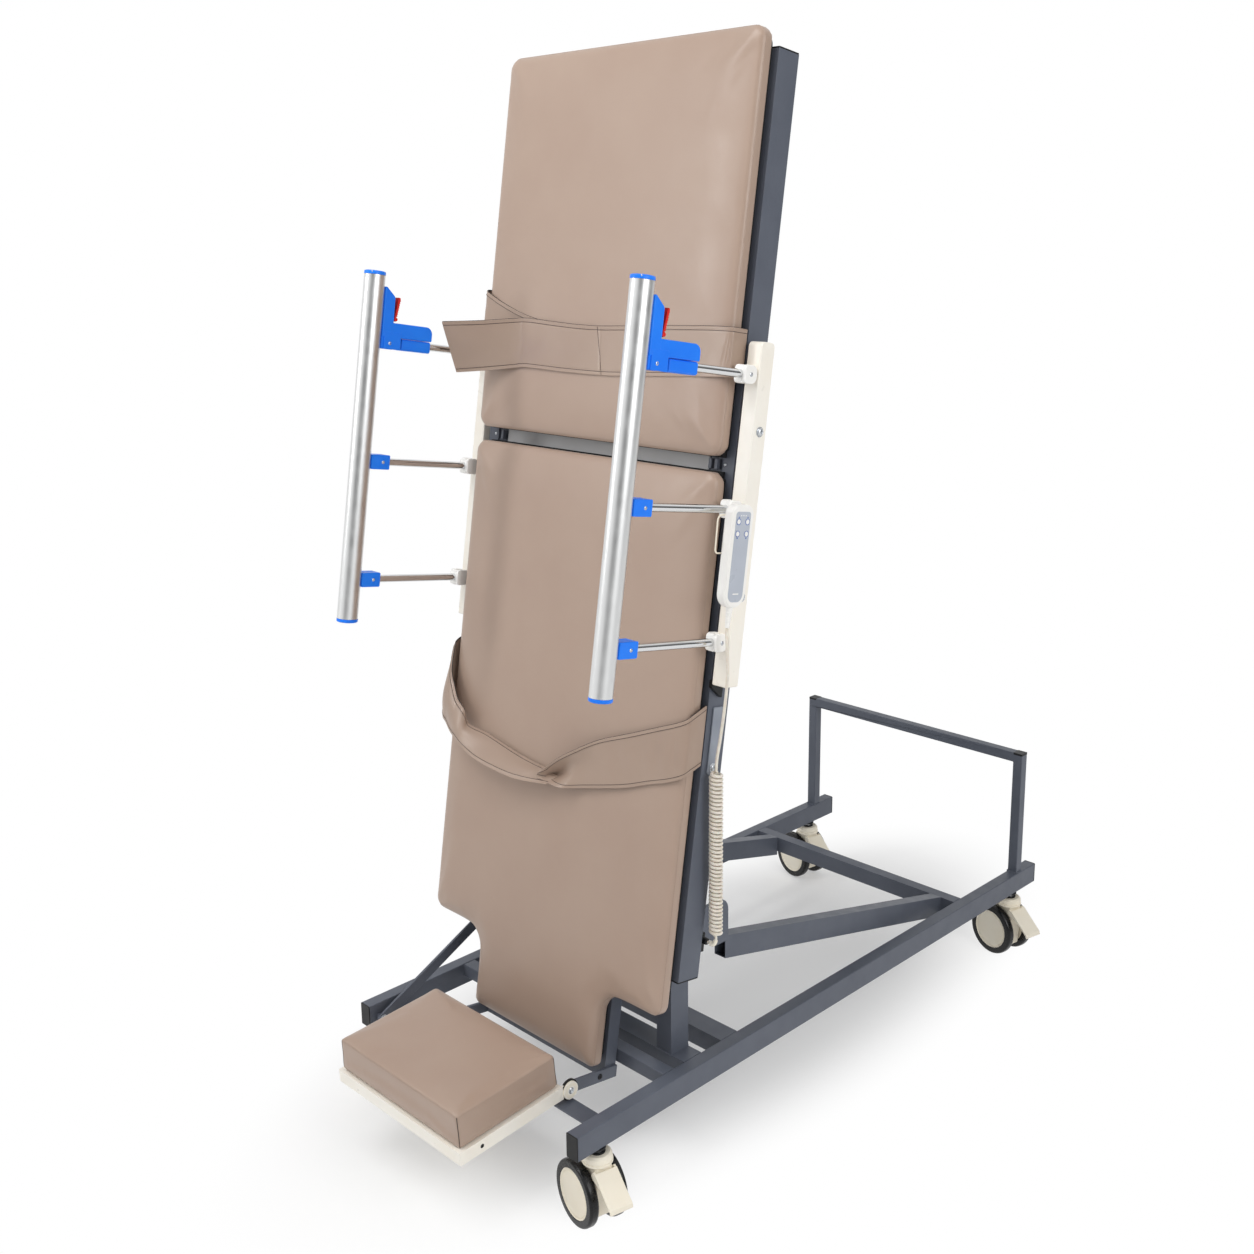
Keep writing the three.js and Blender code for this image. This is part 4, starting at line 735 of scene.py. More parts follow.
# %% Weld beads round the feet of posts and hoop
BEAD_RADIUS = 2.2
BEAD_RIPPLE = 0.18
BEAD_PITCH = 3.2
POST_INNER, POST_OUTER = 237.5, 277.5
POST_FRONT, POST_BACK = 316, 366
HOOP_FRONT, HOOP_BACK = 1536, 1561
HOOP_INNER, HOOP_OUTER = 312.5, 337.5
HOOP_TOP = 537
CROSS_TUBE_FACES = (POST_FRONT, POST_BACK, 426, 476, 1286, 1316, 257, 287)


def bead(corners, side, loop=False):
    """A weld: the path is cut into even steps and the radius ripples once per step of the torch."""
    corners = np.asarray(corners, float)
    steps = np.arange(0, run_along(corners)[-1], BEAD_PITCH / 4)
    radius = BEAD_RADIUS * (1 + BEAD_RIPPLE * np.cos(2 * np.pi * steps / BEAD_PITCH))
    return sweep(at_runs(corners, steps), radius, side, sides=8, loop=loop)


beads = []
for side, sign in SIDES:
    x0, x1 = on_side(sign, HOOP_INNER, HOOP_OUTER)
    foot = [(x0, HOOP_FRONT), (x1, HOOP_FRONT), (x1, HOOP_BACK), (x0, HOOP_BACK), (x0, HOOP_FRONT)]
    beads.append(bead([(x, y, RAIL_TOP) for x, y in foot], UP, loop=True))
    x0, x1 = on_side(sign, POST_INNER, POST_OUTER)
    beads += [bead([(x0, y, RAIL_TOP + 0.4), (x1, y, RAIL_TOP + 0.4)], UP) for y in (POST_FRONT, POST_BACK)]
    wall = sign * RAIL_INNER
    beads += [bead([(wall, y, RAIL_TOP - 24), (wall, y, RAIL_TOP - 3)], ACROSS) for y in CROSS_TUBE_FACES]
piece("base_weld_beads", beads, BASE, powder_coat, "base")

# %% Hoop caps and stay bolts
shells = [slab((sign * (HOOP_INNER - 0.4), HOOP_FRONT - 0.4, HOOP_TOP - 5),
               (sign * (HOOP_OUTER + 0.4), HOOP_BACK + 0.4, HOOP_TOP + 0.3), "z", 2.4, 0.6)
          for side, sign in SIDES]
piece("hoop_cap_pads", shells, BASE, black_nylon, "base")

STAY_FRONT, STAY_BACK = -294, -300
STAY_HEAD = (7.5, 4.5, 5)
STAY_WASHER = (10, 4.2, 1.4)
shells = bolt((STAY_FRONT, 22, 187), 1, STAY_HEAD, STAY_WASHER)
shells += bolt((STAY_BACK, 330, 339), -1, STAY_HEAD, STAY_WASHER)
piece("stay_bolts", shells, BASE, zinc, "base")

# %% [markdown]
# ## Casters
# Each is a twin wheel with a moulded fork between two cream discs, under a domed cover. Wheels and dome are
# lathe profiles, and the fork is an outline with a softened edge. They are drawn with the stem on the
# vertical axis and the axle along Y, so one description serves all four corners.

# %% Wheels, fork and pedal
WHEEL_RADIUS = 65
WHEEL_INNER, WHEEL_OUTER = 22, 42
DISC_RADIUS = 49
AXLE = (-22, 0, 65)
DOME_BOTTOM, DOME_TOP = 135, 155
FORK_HALF = 19
PEDAL_PIVOT = (22, 0, 122)
PEDAL_SLOPE = np.radians(40)
PEDAL_HALF = 24.5
PEDAL_CHEEK = 5
STEM_WASHERS = ((15.5, 153.2, 157.6), (17, 163.2, 166.7))


def tyre(sign):
    """A ring whose section is a rounded tread: flat at the middle, quarter rounds at its shoulders."""
    section = fillet([(DISC_RADIUS, WHEEL_INNER), (WHEEL_RADIUS - 2, WHEEL_INNER), (WHEEL_RADIUS, 27),
                      (WHEEL_RADIUS, 37), (WHEEL_RADIUS - 2, WHEEL_OUTER), (DISC_RADIUS, WHEEL_OUTER)],
                     [0.8, 4, 5, 5, 4, 1.2], 4)
    return aimed(lathe(section, 64, loop=True), "y", AXLE, sign)


def wheel_disc(sign):
    """A plain, slightly domed disc with a fine groove inside its rim, as one profile from the axle out."""
    profile = [(0, 42.2), (16, 42.0), (34, 41.4), (42, 40.8), (43.6, 40.4), (44.2, 39.4), (44.8, 40.5),
               (46.4, 41.5), (48.4, 41.6), (49.4, 40.2), (49.4, 22.6), (46, 22.3), (20, 22.3), (0, 22.3)]
    return aimed(lathe(profile, 64), "y", AXLE, sign)


def dome():
    """The cover: a short skirt with a fine groove, a round shoulder and a shallow dish round the stem."""
    skirt = [(0, 0), (29.2, 0), (30, 1.4), (30, 4.6), (28.2, 5.6), (28.2, 6.8), (29.4, 7.8)]
    crown_part = [(28.2, -4), (24, 0), (15, -0.6), (12, -2.4), (0, -2.4)]
    profile = [(r, DOME_BOTTOM + h) for r, h in skirt] + [(r, DOME_TOP + h) for r, h in crown_part]
    return lathe(fillet(profile, [0.4, 0.4, 0.7, 0.7, 0.4, 0.4, 0.5, 3, 3, 2, 1, 1], 5, closed=False), 48)


def fork_outline():
    """Side view: under the dome, round the axle boss to a square heel, up to the pedal's pin."""
    boss = np.radians(np.linspace(180, 270, 9))
    arc = np.stack([AXLE[0] + 38 * np.cos(boss), AXLE[2] + 38 * np.sin(boss)], 1)
    heel = np.radians(np.linspace(-90, 0, 6))
    corner = np.stack([14 + 6 * np.cos(heel), 33 + 6 * np.sin(heel)], 1)
    return np.vstack([[(-24, 141)], arc, corner, [(27, 121), (25.5, 125.5), (18, 141)]])


def pedal_shells():
    """A smooth sloping foot plate with a rolled toe, and a cheek on each side of its pin."""
    plate = fillet([(0, 6), (70, 6), (76, 3), (77.5, 6.5), (70, 11), (0, 11)], [1.5, 6, 1.4, 1.4, 6, 1.5], 5)
    cheek = fillet([(-5, -5), (6, -5), (30, 6.5), (20, 9), (-5, 9)], [4.5, 5, 2, 1, 3], 5)
    shells = [along_axle(plate, -PEDAL_HALF, PEDAL_HALF, 1.2),
              along_axle(cheek, -PEDAL_HALF, -PEDAL_HALF + PEDAL_CHEEK, 0.9),
              along_axle(cheek, PEDAL_HALF - PEDAL_CHEEK, PEDAL_HALF, 0.9)]
    cosine, sine = np.cos(PEDAL_SLOPE), np.sin(PEDAL_SLOPE)
    lean = np.array([[cosine, 0, -sine], [0, 1, 0], [sine, 0, cosine]])
    return [(points @ lean + PEDAL_PIVOT, faces) for points, faces in shells]


for corner, where in CASTERS.items():
    body, wheels = f"caster_{corner}", f"wheels_{corner}"
    fork = [dome(), along_axle(fork_outline(), -FORK_HALF, FORK_HALF, 4, 5),
            slab((-76, -FORK_HALF, 137.5), (0, FORK_HALF, 143.5), "z", 7, 1.5)]
    piece(f"fork_{corner}", fork, where, cream_abs, body, f"caster_fork_{corner}")
    piece(f"tyres_{corner}", [tyre(1), tyre(-1)], where, tyre_rubber, wheels, f"caster_wheel_{corner}")
    piece(f"discs_{corner}", [wheel_disc(1), wheel_disc(-1)], where, cream_abs, wheels)
    piece(f"brake_pedal_{corner}", pedal_shells(), where, cream_abs, f"pedal_{corner}",
          f"caster_pedal_{corner}")
    steel = [round_bar(11, 150, 166.6, 36), aimed(round_bar(6, -22, 22, 24), "y", AXLE)]
    piece(f"stem_and_axle_{corner}", steel, where, zinc, body)
    rings = [round_bar(radius, low, high, bore=8) for radius, low, high in STEM_WASHERS]
    piece(f"stem_washers_{corner}", rings, where, black_nylon, body)

# %% [markdown]
# ## Side housings and folding rails
# On each long side a cream box profile is bolted to the bed, and three chrome rods fold on its lugs. Their
# outer ends hold an oval aluminium rail in blue sockets, and the top one has a blue latch with a red lever.
# Everything is drawn for the right side and mirrored by the sign of X, but each piece stays separate,
# because each rides on its own body.

# %% Housings with their lugs, bolts and dark rear edge
CLAMP_X = 378.5
HOUSING_INNER, HOUSING_OUTER = 362, 395
HOUSING_LOW, HOUSING_HIGH = 585, 1221
HOUSING_BACK, HOUSING_FRONT = -28, 9
ROD_ALONGS = {"lower": 670, "middle": 915, "upper": 1160}
BOLT_ALONGS = (755, 1059)
BOLT_HEIGHT = -9.5
ROD_PIVOT = 27
HANDSET_PEG = [(0, 7), (4, 7), (4, 29.6), (3, 31), (0, 31)]


def side_housing(sign):
    """The box profile with a round-topped lug for each rod."""
    outline = rounded((HOUSING_LOW, HOUSING_HIGH), (HOUSING_BACK, HOUSING_FRONT), [3, 9, 9, 3], 8)
    shells = [across(outline, *on_side(sign, HOUSING_INNER, HOUSING_OUTER), 2.6, 6)]
    for along in ROD_ALONGS.values():
        lug = rounded((along - 10, along + 10), (HOUSING_FRONT - 2, ROD_PIVOT + 10), [1, 1, 9.8, 9.8], 8)
        shells.append(across(lug, *on_side(sign, CLAMP_X - 4, CLAMP_X + 4)))
    return shells


for side, sign in SIDES:
    shells = side_housing(sign)
    if side == "right":
        shells.append(aimed(lathe(HANDSET_PEG, 24), "z", (CLAMP_X, 884, 0)))
    piece(f"housing_cover_{side}", shells, BED, cream_enamel, "bed", f"side_housing_{side}")
    seam = slab((sign * 366, HOUSING_LOW + 5, HOUSING_BACK - 1.2),
                (sign * 391, HOUSING_HIGH - 7, HOUSING_BACK + 1), "z", 5, 0.5)
    piece(f"housing_back_{side}", [seam], BED, black_nylon, "bed")
    shells = []
    for along in BOLT_ALONGS:
        shells += bolt((sign * HOUSING_OUTER, along, BOLT_HEIGHT), sign, (7.6, 4.0, 6.2), (9.5, 4, 1.2))
        shells.append(aimed(round_bar(6, 352.2, 363, 24), "x", (0, along, BOLT_HEIGHT), sign))
    piece(f"housing_bolts_{side}", shells, BED, zinc, "bed")
    wedge = fillet([(556, -26), (592, -26), (592, 6), (578, 6)], [2, 1, 2, 4])
    piece(f"housing_bracket_{side}", [across(wedge, *on_side(sign, 353, 361.4))], BED, black_nylon, "bed")

# %% Rods with their clamps, and the sleeve under the latch
SOCKET_PIVOT = 266
ROD_RADIUS = 8
CLAMP_HALF = 13.5
SLEEVE_LOW, SLEEVE_HIGH = 169, 242


def rod_clamp(sign, along):
    """A cream clevis: two round cheeks astride the lug, joined in front of it round the rod."""
    outline = rounded((along - 17, along + 17), (10, 44), [13, 13, 8, 8], 8)
    front = rounded((along - 16.4, along + 16.4), (38.4, 43.6), [1, 1, 2.45, 2.45])
    shells = [across(outline, *on_side(sign, CLAMP_X + near, CLAMP_X + far), 2.2, 5)
              for near, far in ((-CLAMP_HALF, -5), (5, CLAMP_HALF))]
    return shells + [across(front, *on_side(sign, CLAMP_X - 6, CLAMP_X + 6), 0.6)]


def steel_rod(sign, along):
    """Chrome bar from the clamp to the eye, with a flat eye across the socket's pin."""
    eye = lathe(fillet([(0, -9), (9, -9), (9, 9), (0, 9)], 0.8, 4, closed=False), 40)
    return [aimed(round_bar(ROD_RADIUS, 40, 262, 48), "z", (sign * CLAMP_X, along, 0)),
            aimed(eye, "x", (sign * CLAMP_X, along, SOCKET_PIVOT))]


for side, sign in SIDES:
    for name, along in ROD_ALONGS.items():
        body = f"rod_{name}_{side}"
        piece(f"clamp_{name}_{side}", rod_clamp(sign, along), BED, white_abs, body)
        piece(f"chrome_rod_{name}_{side}", steel_rod(sign, along), BED, chrome, body,
              f"rail_rod_{name}_{side}")
        pin_at = (sign * (CLAMP_X + CLAMP_HALF - 0.6), along, ROD_PIVOT)
        piece(f"clamp_screw_{name}_{side}", [aimed(screw(4.6, 1.8, 3.4), "x", pin_at, sign)], BED, zinc, body)
    upper = ROD_ALONGS["upper"]
    sleeve = slab((sign * CLAMP_X - 13, upper - 14, SLEEVE_LOW),
                  (sign * CLAMP_X + 13, upper + 9.6, SLEEVE_HIGH), "z", 5, 2.5)
    piece(f"rod_sleeve_{side}", [sleeve], BED, blue_abs, f"rod_upper_{side}")

# %% Oval rails with blue end caps
RAIL_ALONG, RAIL_END = 580, 1300
RAIL_BEFORE = 313
RAIL_RADIUS = 22
RAIL_OVAL = 0.92
RAIL_CAP = 8


def rail_cap(sign, face, way):
    """A blue lid over the rail's end: a flange of the rail's outline with a domed top."""
    outline = circle(RAIL_RADIUS + 0.4, 56, squash=RAIL_OVAL)
    rise = np.linspace(0, np.pi / 2, 6)
    rings = [outline] + [inset(outline, 6 * (1 - np.cos(t))) for t in rise]
    heights = [0] + [RAIL_CAP - 3 + 2.6 * np.sin(t) for t in rise]
    return aimed(skin(levels(rings, heights)), "y", (sign * CLAMP_X, face, RAIL_BEFORE), way)


for side, sign in SIDES:
    body = f"rail_{side}"
    oval = tube(circle(RAIL_RADIUS, 64, squash=RAIL_OVAL), 2.5, RAIL_ALONG + RAIL_CAP, RAIL_END - RAIL_CAP)
    oval = aimed(oval, "y", (sign * CLAMP_X, 0, RAIL_BEFORE))
    piece(f"oval_rail_{side}", [oval], BED, satin_aluminium, body, f"side_rail_{side}")
    caps = [rail_cap(sign, RAIL_ALONG + RAIL_CAP + 0.1, -1), rail_cap(sign, RAIL_END - RAIL_CAP - 0.1, 1)]
    piece(f"oval_rail_caps_{side}", caps, BED, blue_abs, body)
    dots = [aimed(screw(2.0, 1.0, 1.4, 18), "z", (sign * CLAMP_X + x, RAIL_END - 3.5, RAIL_BEFORE + 16.2))
            for x in (-12.5, 12.5)]
    piece(f"rail_cap_rivets_{side}", dots, BED, zinc, body)

# %% Sockets at the lower and middle rods, the latch and its lever
RAIL_BACK = RAIL_BEFORE - RAIL_RADIUS - 0.3
RAIL_SADDLE = RAIL_BEFORE - RAIL_RADIUS * RAIL_OVAL + 1.2
SOCKET_HALF = 15
SOCKET_INNER = 10.4
SOCKET_FRONT = 249
LEVER_HALF = 13.6
LEVER_LEAN = 0.17


def two_cheeks(outline, x, half, edge):
    """The same cheek on both sides of the rod's eye."""
    return [across(outline, x - half, x - SOCKET_INNER, edge),
            across(outline, x + SOCKET_INNER, x + half, edge)]


def rail_socket(x, along):
    """Two cheeks, a roof and a web against the rail, open towards the foot end for the rod's swing."""
    low, high = along - SOCKET_HALF, along + SOCKET_HALF
    cheek = rounded((low, high), (SOCKET_FRONT, RAIL_SADDLE), [3, 3, 2, 2])
    return two_cheeks(cheek, x, SOCKET_HALF, 1.2) + [
        slab((x - 12, high - 4.5, SOCKET_FRONT + 0.6), (x + 12, high - 0.4, RAIL_SADDLE), "z", 0.6, 0.6),
        slab((x - 12, low + 0.6, RAIL_BACK - 7), (x + 12, high - 1, RAIL_SADDLE), "z", 0.8, 0.6)]


def rail_latch(x, along):
    """A spine up the back of the rail with a chamfered top, and an arm over the rod's sleeve."""
    back, foot = RAIL_BACK - 23, along + 10.3
    spine = fillet([(foot, back), (along + 92, back), (along + 114, RAIL_SADDLE), (foot, RAIL_SADDLE)],
                   [2.4, 9, 3, 2.4], 6)
    web = slab((x - 13, along - 13, RAIL_BACK - 7), (x + 13, along + 14, RAIL_SADDLE - 0.4), "y", 1, 0.6)
    arm = rounded((foot, along + 40), (168, RAIL_BACK - 10), [3, 15, 3, 3], 10)
    cheek = rounded((along - 14, along + 22), (247, RAIL_BACK - 2), [3, 3, 2, 2])
    return [web, across(spine, x - 15, x + 15, 2.2, 5), across(arm, x - 14.8, x + 14.8, 2.2, 5),
            *two_cheeks(cheek, x, 15.3, 1.4)]


def red_lever(x, along):
    """The thumb lever: a flared foot, and a face cut into even teeth. It leans off the spine by a little
    more than its travel, so that pressing it brings it flat."""
    face = RAIL_BACK - 23
    foot = along + 44
    teeth = np.arange(foot + 9, foot + 42, 4.4)
    lean = face - 5.2 - LEVER_LEAN * (teeth - foot)
    ridge = np.stack([np.repeat(teeth, 2), np.repeat(lean, 2) - np.tile([0, 1.8], len(teeth))], 1)
    flare = [(foot + 1, face - 1.2), (foot - 1, face - 5), (foot + 1, face - 9), (foot + 5, face - 9.6),
             (foot + 8, face - 5.4)]
    tip = [(foot + 46, face - 13), (foot + 48, face - 11.8), (foot + 48, face - 8.4)]
    arm = fillet([(foot - 3, face + 4.6), (foot - 3, face - 2.4), (foot + 12, face - 4.4),
                  (foot + 7, face + 4.6)], [2.6, 1, 1, 3], 5)
    return [across(np.vstack([flare, ridge, tip]), x - LEVER_HALF, x + LEVER_HALF, 0.5, 3),
            across(arm, x - 8.8, x + 8.8, 0.6, 3)]


def pin_heads(x, along, before, radius, height):
    """A small screw head on each outer face of a socket."""
    return [aimed(screw(radius, height, 2.6, 24), "x", (x + way * 14.6, along, before), way)
            for way in (1, -1)]


for side, sign in SIDES:
    body = f"rail_{side}"
    x = sign * CLAMP_X
    for name in ("lower", "middle"):
        along = ROD_ALONGS[name]
        piece(f"blue_socket_{name}_{side}", rail_socket(x, along), BED, blue_abs, body,
              f"rail_socket_{name}_{side}")
        piece(f"socket_pin_{name}_{side}", pin_heads(x, along, SOCKET_PIVOT, 3.6, 1.4), BED, zinc, body)
    along = ROD_ALONGS["upper"]
    piece(f"blue_latch_{side}", rail_latch(x, along), BED, blue_abs, body, f"rail_latch_{side}")
    piece(f"latch_screw_{side}", pin_heads(x, along - 2, SOCKET_PIVOT + 8, 3.8, 1.6), BED, zinc, body)
    piece(f"thumb_lever_{side}", red_lever(x, along), BED, red_abs, f"lever_{side}", f"latch_lever_{side}")

# %% [markdown]
# ## Handset
# A flat cream case with round ends, a film keypad and four round keys, hung on the housing by a hook. Its
# outline is one rounded rectangle whose foot is rounder than its head. The film lies on the face as its own
# thin plate, and each key is its own piece, because each one travels. A wire bail hangs from the rod above
# it.

# %% Case, film, keys, marks, hook and strain relief
HANDSET_LOW, HANDSET_HIGH = 741, 928
HANDSET_BACK, HANDSET_FRONT = 14, 74
HANDSET_INNER, HANDSET_FACE = 404, 424
PRINT_LOW, PRINT_HIGH = 424.4, 424.8
KEY_RADIUS = 4.5
KEY_ROWS = {"upper": (898, 1), "lower": (876, -1)}
KEY_COLUMNS = {"front": 56, "rear": 32}


def case_outline(shrink):
    foot, head = 27 - shrink, 17 - shrink
    return rounded((HANDSET_LOW + shrink, HANDSET_HIGH - shrink),
                   (HANDSET_BACK + shrink, HANDSET_FRONT - shrink), [foot, head, head, foot], 12)


def printed(outline, edge=0.2, steps=3):
    """A thin layer of ink on the film."""
    return across(outline, PRINT_LOW, PRINT_HIGH, edge, steps)


hook_path = fillet([(406, 889, 16.3), (372.2, 889, 16.3), (372.2, 864, 16.3)], 2.5, 8, closed=False)
case = [across(case_outline(0), HANDSET_INNER, HANDSET_FACE - 0.8, 4.5, 7),
        across(case_outline(3), HANDSET_FACE - 1.5, HANDSET_FACE, 0.5, 3), sweep(hook_path, 2.2, UP)]
piece("handset_case", case, BED, white_abs, "bed", "handset")
film_outline = rounded((752, 916), (24, 64), [14, 6, 6, 14], 8)
film = across(film_outline, HANDSET_FACE - 0.2, HANDSET_FACE + 0.5, 0.3, 3)
piece("keypad_film", [film], BED, membrane, "bed")
light_marks = [printed(rounded((766, 768), (36, 52), 0.7, 4))]
light_marks += [printed(circle(1.2, 16, (909, before))) for before in (38, 44, 50)]
piece("keypad_light_marks", light_marks, BED, white_abs, "bed")
key_profile = [(0, 420.6), (KEY_RADIUS, 420.6), (KEY_RADIUS, 424.8), (KEY_RADIUS - 0.7, 425.6), (0, 425.8)]
marks = []
for row, (along, way) in KEY_ROWS.items():
    for column, before in KEY_COLUMNS.items():
        at = (0, along, before)
        piece(f"key_{row}_{column}", [aimed(lathe(key_profile, 36), "x", at)], BED, white_abs,
              f"button_{row}_{column}", f"handset_button_{row}_{column}")
        marks.append(aimed(round_bar(6.0, PRINT_LOW, PRINT_HIGH, 36, bore=5.0), "x", at))
        foot, tip = along + way * 7, along + way * 9.5
        arrow = fillet([(foot, before - 2.4), (foot, before + 2.4), (tip, before)], 0.3, 3)
        marks.append(printed(arrow, 0.1, 2))
piece("keypad_blue_marks", marks, BED, blue_print, "bed")


def relief_profile():
    """A tapered sleeve with six grooves: radius falls from the case to the cord, less a cosine dip."""
    height = np.linspace(0, 38, 73)
    radius = 6.5 - 2.2 * height / 38
    grooved = radius - 0.55 * (0.5 - 0.5 * np.cos(2 * np.pi * height / 5.4)) * (height > 5)
    return np.vstack([[(0, -4)], [(6.5, -4)], np.column_stack([grooved, height]), [(0, 38)]])


relief_shell = aimed(lathe(relief_profile(), 32), "y", (414, HANDSET_LOW + 1, 44), sign=-1)
piece("handset_strain_relief", [relief_shell], BED, white_abs, "bed")

# %% The wire bail on the handset's back, clear of the sockets when the rail folds
bail_path = fillet([(406, 904, 62), (398, 899, 62), (400.5, 838, 60), (400.5, 838, 84), (398, 899, 83),
                    (399, 906, 80), (406, 908, 68)], [1, 3, 7, 7, 3, 3, 1], 8, closed=False)
piece("handset_bail", [sweep(bail_path, 1.5, (1, 0.3, 0), 10)], BED, cream_abs, "bed")

# %% Cord socket, its plug and the strap plate
ROOM = place((0, 0, 0), ACROSS, (0, 1, 0))
box = slab((320, 40, -82.3), (338, 80, -57.3), "z", 3, 1.5)
neck_profile = [(0, 336), (8.5, 336), (8.5, 340), (7, 341), (7, 351), (6, 353), (0, 353)]
neck = aimed(lathe(neck_profile, 32), "x", (0, 68, -72))
piece("cord_socket_box", [box, neck], BED, black_nylon, "bed", "cord_socket")
plug_path = tail[6:20] / MM
plug = sweep(plug_path, np.linspace(4.2, 5.4, len(plug_path)), (0, 1, 0.2), 20)
cord_plug = piece("cord_plug", [plug], ROOM, cream_abs, "bed")
plate = across(rounded((408, 538), (-40, -14), [6, 3, 3, 6]), 352.3, 355.3, 0.8)
piece("knee_strap_plate", [plate], BED, strap_steel, "bed", "strap_plate")
plate_bolt = bolt((355.2, 421, -27), 1, (6.4, 3.4, 4.2), (8.5, 3.5, 1.2))
piece("strap_plate_bolt", plate_bolt, BED, zinc, "bed")

# %% [markdown]
# ## Bed frame details
# Black caps close the bed's tubes, and the gap between the two pads shows four dark uprights with silver
# screws. The tongue under the lower pad carries the footboard's arms.

# %% Tube caps, gap uprights, screws and welds
TUBE_INNER, TUBE_OUTER = 322, 352
TUBE_BACK = -57
TUBE_END = 1742
TUBE_CAP_SUNK = 0.4
GAP_LOW, GAP_HIGH = 981, 1003
BED_TUBE_FACES = (98, 128, 585, 615, 977, 1007, 1690, 1720)

for side, sign in SIDES:
    shells = []
    for face, way in ((TUBE_END - TUBE_CAP_SUNK, 1), (TUBE_CAP_SUNK, -1)):
        shells += end_cap(on_side(sign, TUBE_INNER, TUBE_OUTER), (TUBE_BACK, 0), face, way, 3, 0.3, 3)
    piece(f"bed_tube_caps_{side}", shells, BED, black_nylon, "bed")
    uprights = [slab((sign * x, GAP_LOW + 1, 0.3), (sign * (x + 7), GAP_HIGH - 1, 9), "z", 1.2)
                for x in (296, 311)]
    piece(f"gap_uprights_{side}", uprights, BED, powder_coat, "bed")
    screws = [aimed(screw(3.4, 2, 2.4, 24), "z", (sign * x, 992, 0.2)) for x in (307.5, 330)]
    piece(f"gap_screws_{side}", screws, BED, zinc, "bed")

beads = [bead([(sign * TUBE_INNER, along, -54), (sign * TUBE_INNER, along, -5)], ACROSS)
         for side, sign in SIDES for along in BED_TUBE_FACES]
piece("bed_weld_beads", beads, BED, powder_coat, "bed")
arm_bolts = [aimed(screw(6.2, 2.4, 4), "x", (sign * 190, -251, 18), sign) for side, sign in SIDES]
piece("tongue_arm_bolts", arm_bolts, BED, black_nylon, "bed")

# %% [markdown]
# ## Footboard
# The footboard is a cream pressed tray with a block of foam in it. Its ears turn on the tongue's arms,
# under cream discs with a dark ring and a silver bolt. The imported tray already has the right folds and
# holes, so it keeps its mesh and gets enamel and soft edges.

# %% Tray finish, hinge discs, bolts and stops
TRAY_EDGE_RADIUS = 0.9
TRAY_HOLE = (-220, 1.5)
disc_profile = fillet([(0, 190.6), (16.6, 190.6), (18, 192.4), (18, 197.6), (15.6, 199.6), (9.6, 199.9),
                       (9, 199.2), (0, 199.2)], [0.2, 0.6, 0.6, 1.5, 1.5, 0.3, 0.3, 0.2], 4, closed=False)
stop_profile = fillet([(0, 262.4), (4.4, 262.4), (4.4, 271), (0, 271)], 1.2, 4, closed=False)
coat_node("footboard_tray", cream_enamel, TRAY_EDGE_RADIUS)
for side, sign in SIDES:
    disc = aimed(lathe(disc_profile, 48), "x", sign=sign)
    piece(f"hinge_disc_{side}", [disc], FOOT, cream_abs, "footboard")
    # The black ring is a real washer; the small black disc set in the tray's open hole is painted shade that
    # makes the hole look dark.
    rubber = [aimed(round_bar(21.2, 190.4, 194.6, 48, bore=18.2), "x", sign=sign),
              aimed(round_bar(4.3, 193.4, 194.6, 24), "x", (0, *TRAY_HOLE), sign)]
    piece(f"hinge_ring_and_hole_shade_{side}", rubber, FOOT, black_nylon, "footboard")
    stop = aimed(lathe(stop_profile, 24), "y", (sign * 185.4, 0, 91), -1)
    piece(f"hinge_stop_{side}", [stop], BED, black_nylon, "bed")
    hinge_bolt = aimed(screw(6.8, 2.6, 4), "x", (sign * 199, 0, 0), sign)
    piece(f"hinge_bolt_{side}", [hinge_bolt], FOOT, zinc, "footboard")
print("footboard fittings done")

# %% [markdown]
# ## Lift
# A linear actuator under the bed tilts it. It has a grey tube with a motor beside it on a gear case, and a
# chrome rod with an eye at each end.

# %% Actuator body and rod
motor = fillet([(0, 32), (29, 32), (30, 34), (30, 148), (26, 152), (0, 152)], [1, 1, 1, 1, 3, 1], 4,
               closed=False)
body_tube = fillet([(0, 32), (28, 32), (28, 425), (24, 427.5), (11, 427.5), (11, 425), (0, 425)],
                   [1, 1, 1, 1.5, 0.6, 0.6, 1], 4, closed=False)
eye = lathe(rounded((5, 15), (-10, 10), 0.8, 4), 40, loop=True)
housing = [lathe(body_tube, 56), aimed(lathe(motor, 48), "z", (0, 62, 0)), aimed(eye, "x"),
           slab((-30, 2, 32), (30, 62, 92), "z", 8, 3), slab((-10, -10, 8), (10, 10, 34.5), "z", 3)]
piece("lift_motor", housing, ACTUATOR, grey_enamel, "actuator_body", "actuator_housing")
bands = [lathe([(27.9, low), (29.2, low + 0.6), (29.2, low + 8), (27.9, low + 8.6)], 56, loop=True)
         for low in (96, 412)]
piece("lift_bands", bands, ACTUATOR, black_nylon, "actuator_body")
rod_shells = [round_bar(10, 403, 740), aimed(eye, "x", (0, 0, 749))]
piece("lift_rod", rod_shells, ACTUATOR, chrome, "actuator_stick", "actuator_rod")
print("lift done")

# %% [markdown]
# ## Pads
# Each pad is foam on a black board under a leatherette cover pulled tight. The cover is crowned: it falls
# away over the last few centimetres and rounds over a soft edge. The blank is remeshed, its front is
# lowered near the outline, and Blender's cloth then swells it a little with air pressure, held at its back.
# How far a point may move is capped, so that foam stays foam.

# %% Outlines of the three pads
PAD_HALF = 350
PAD_BACK, PAD_FRONT = 10.7, 48.7
UPPER_LOW, UPPER_HIGH = 1003, 1780
TONGUE_HALF = 190
TRAY_TOP = 15


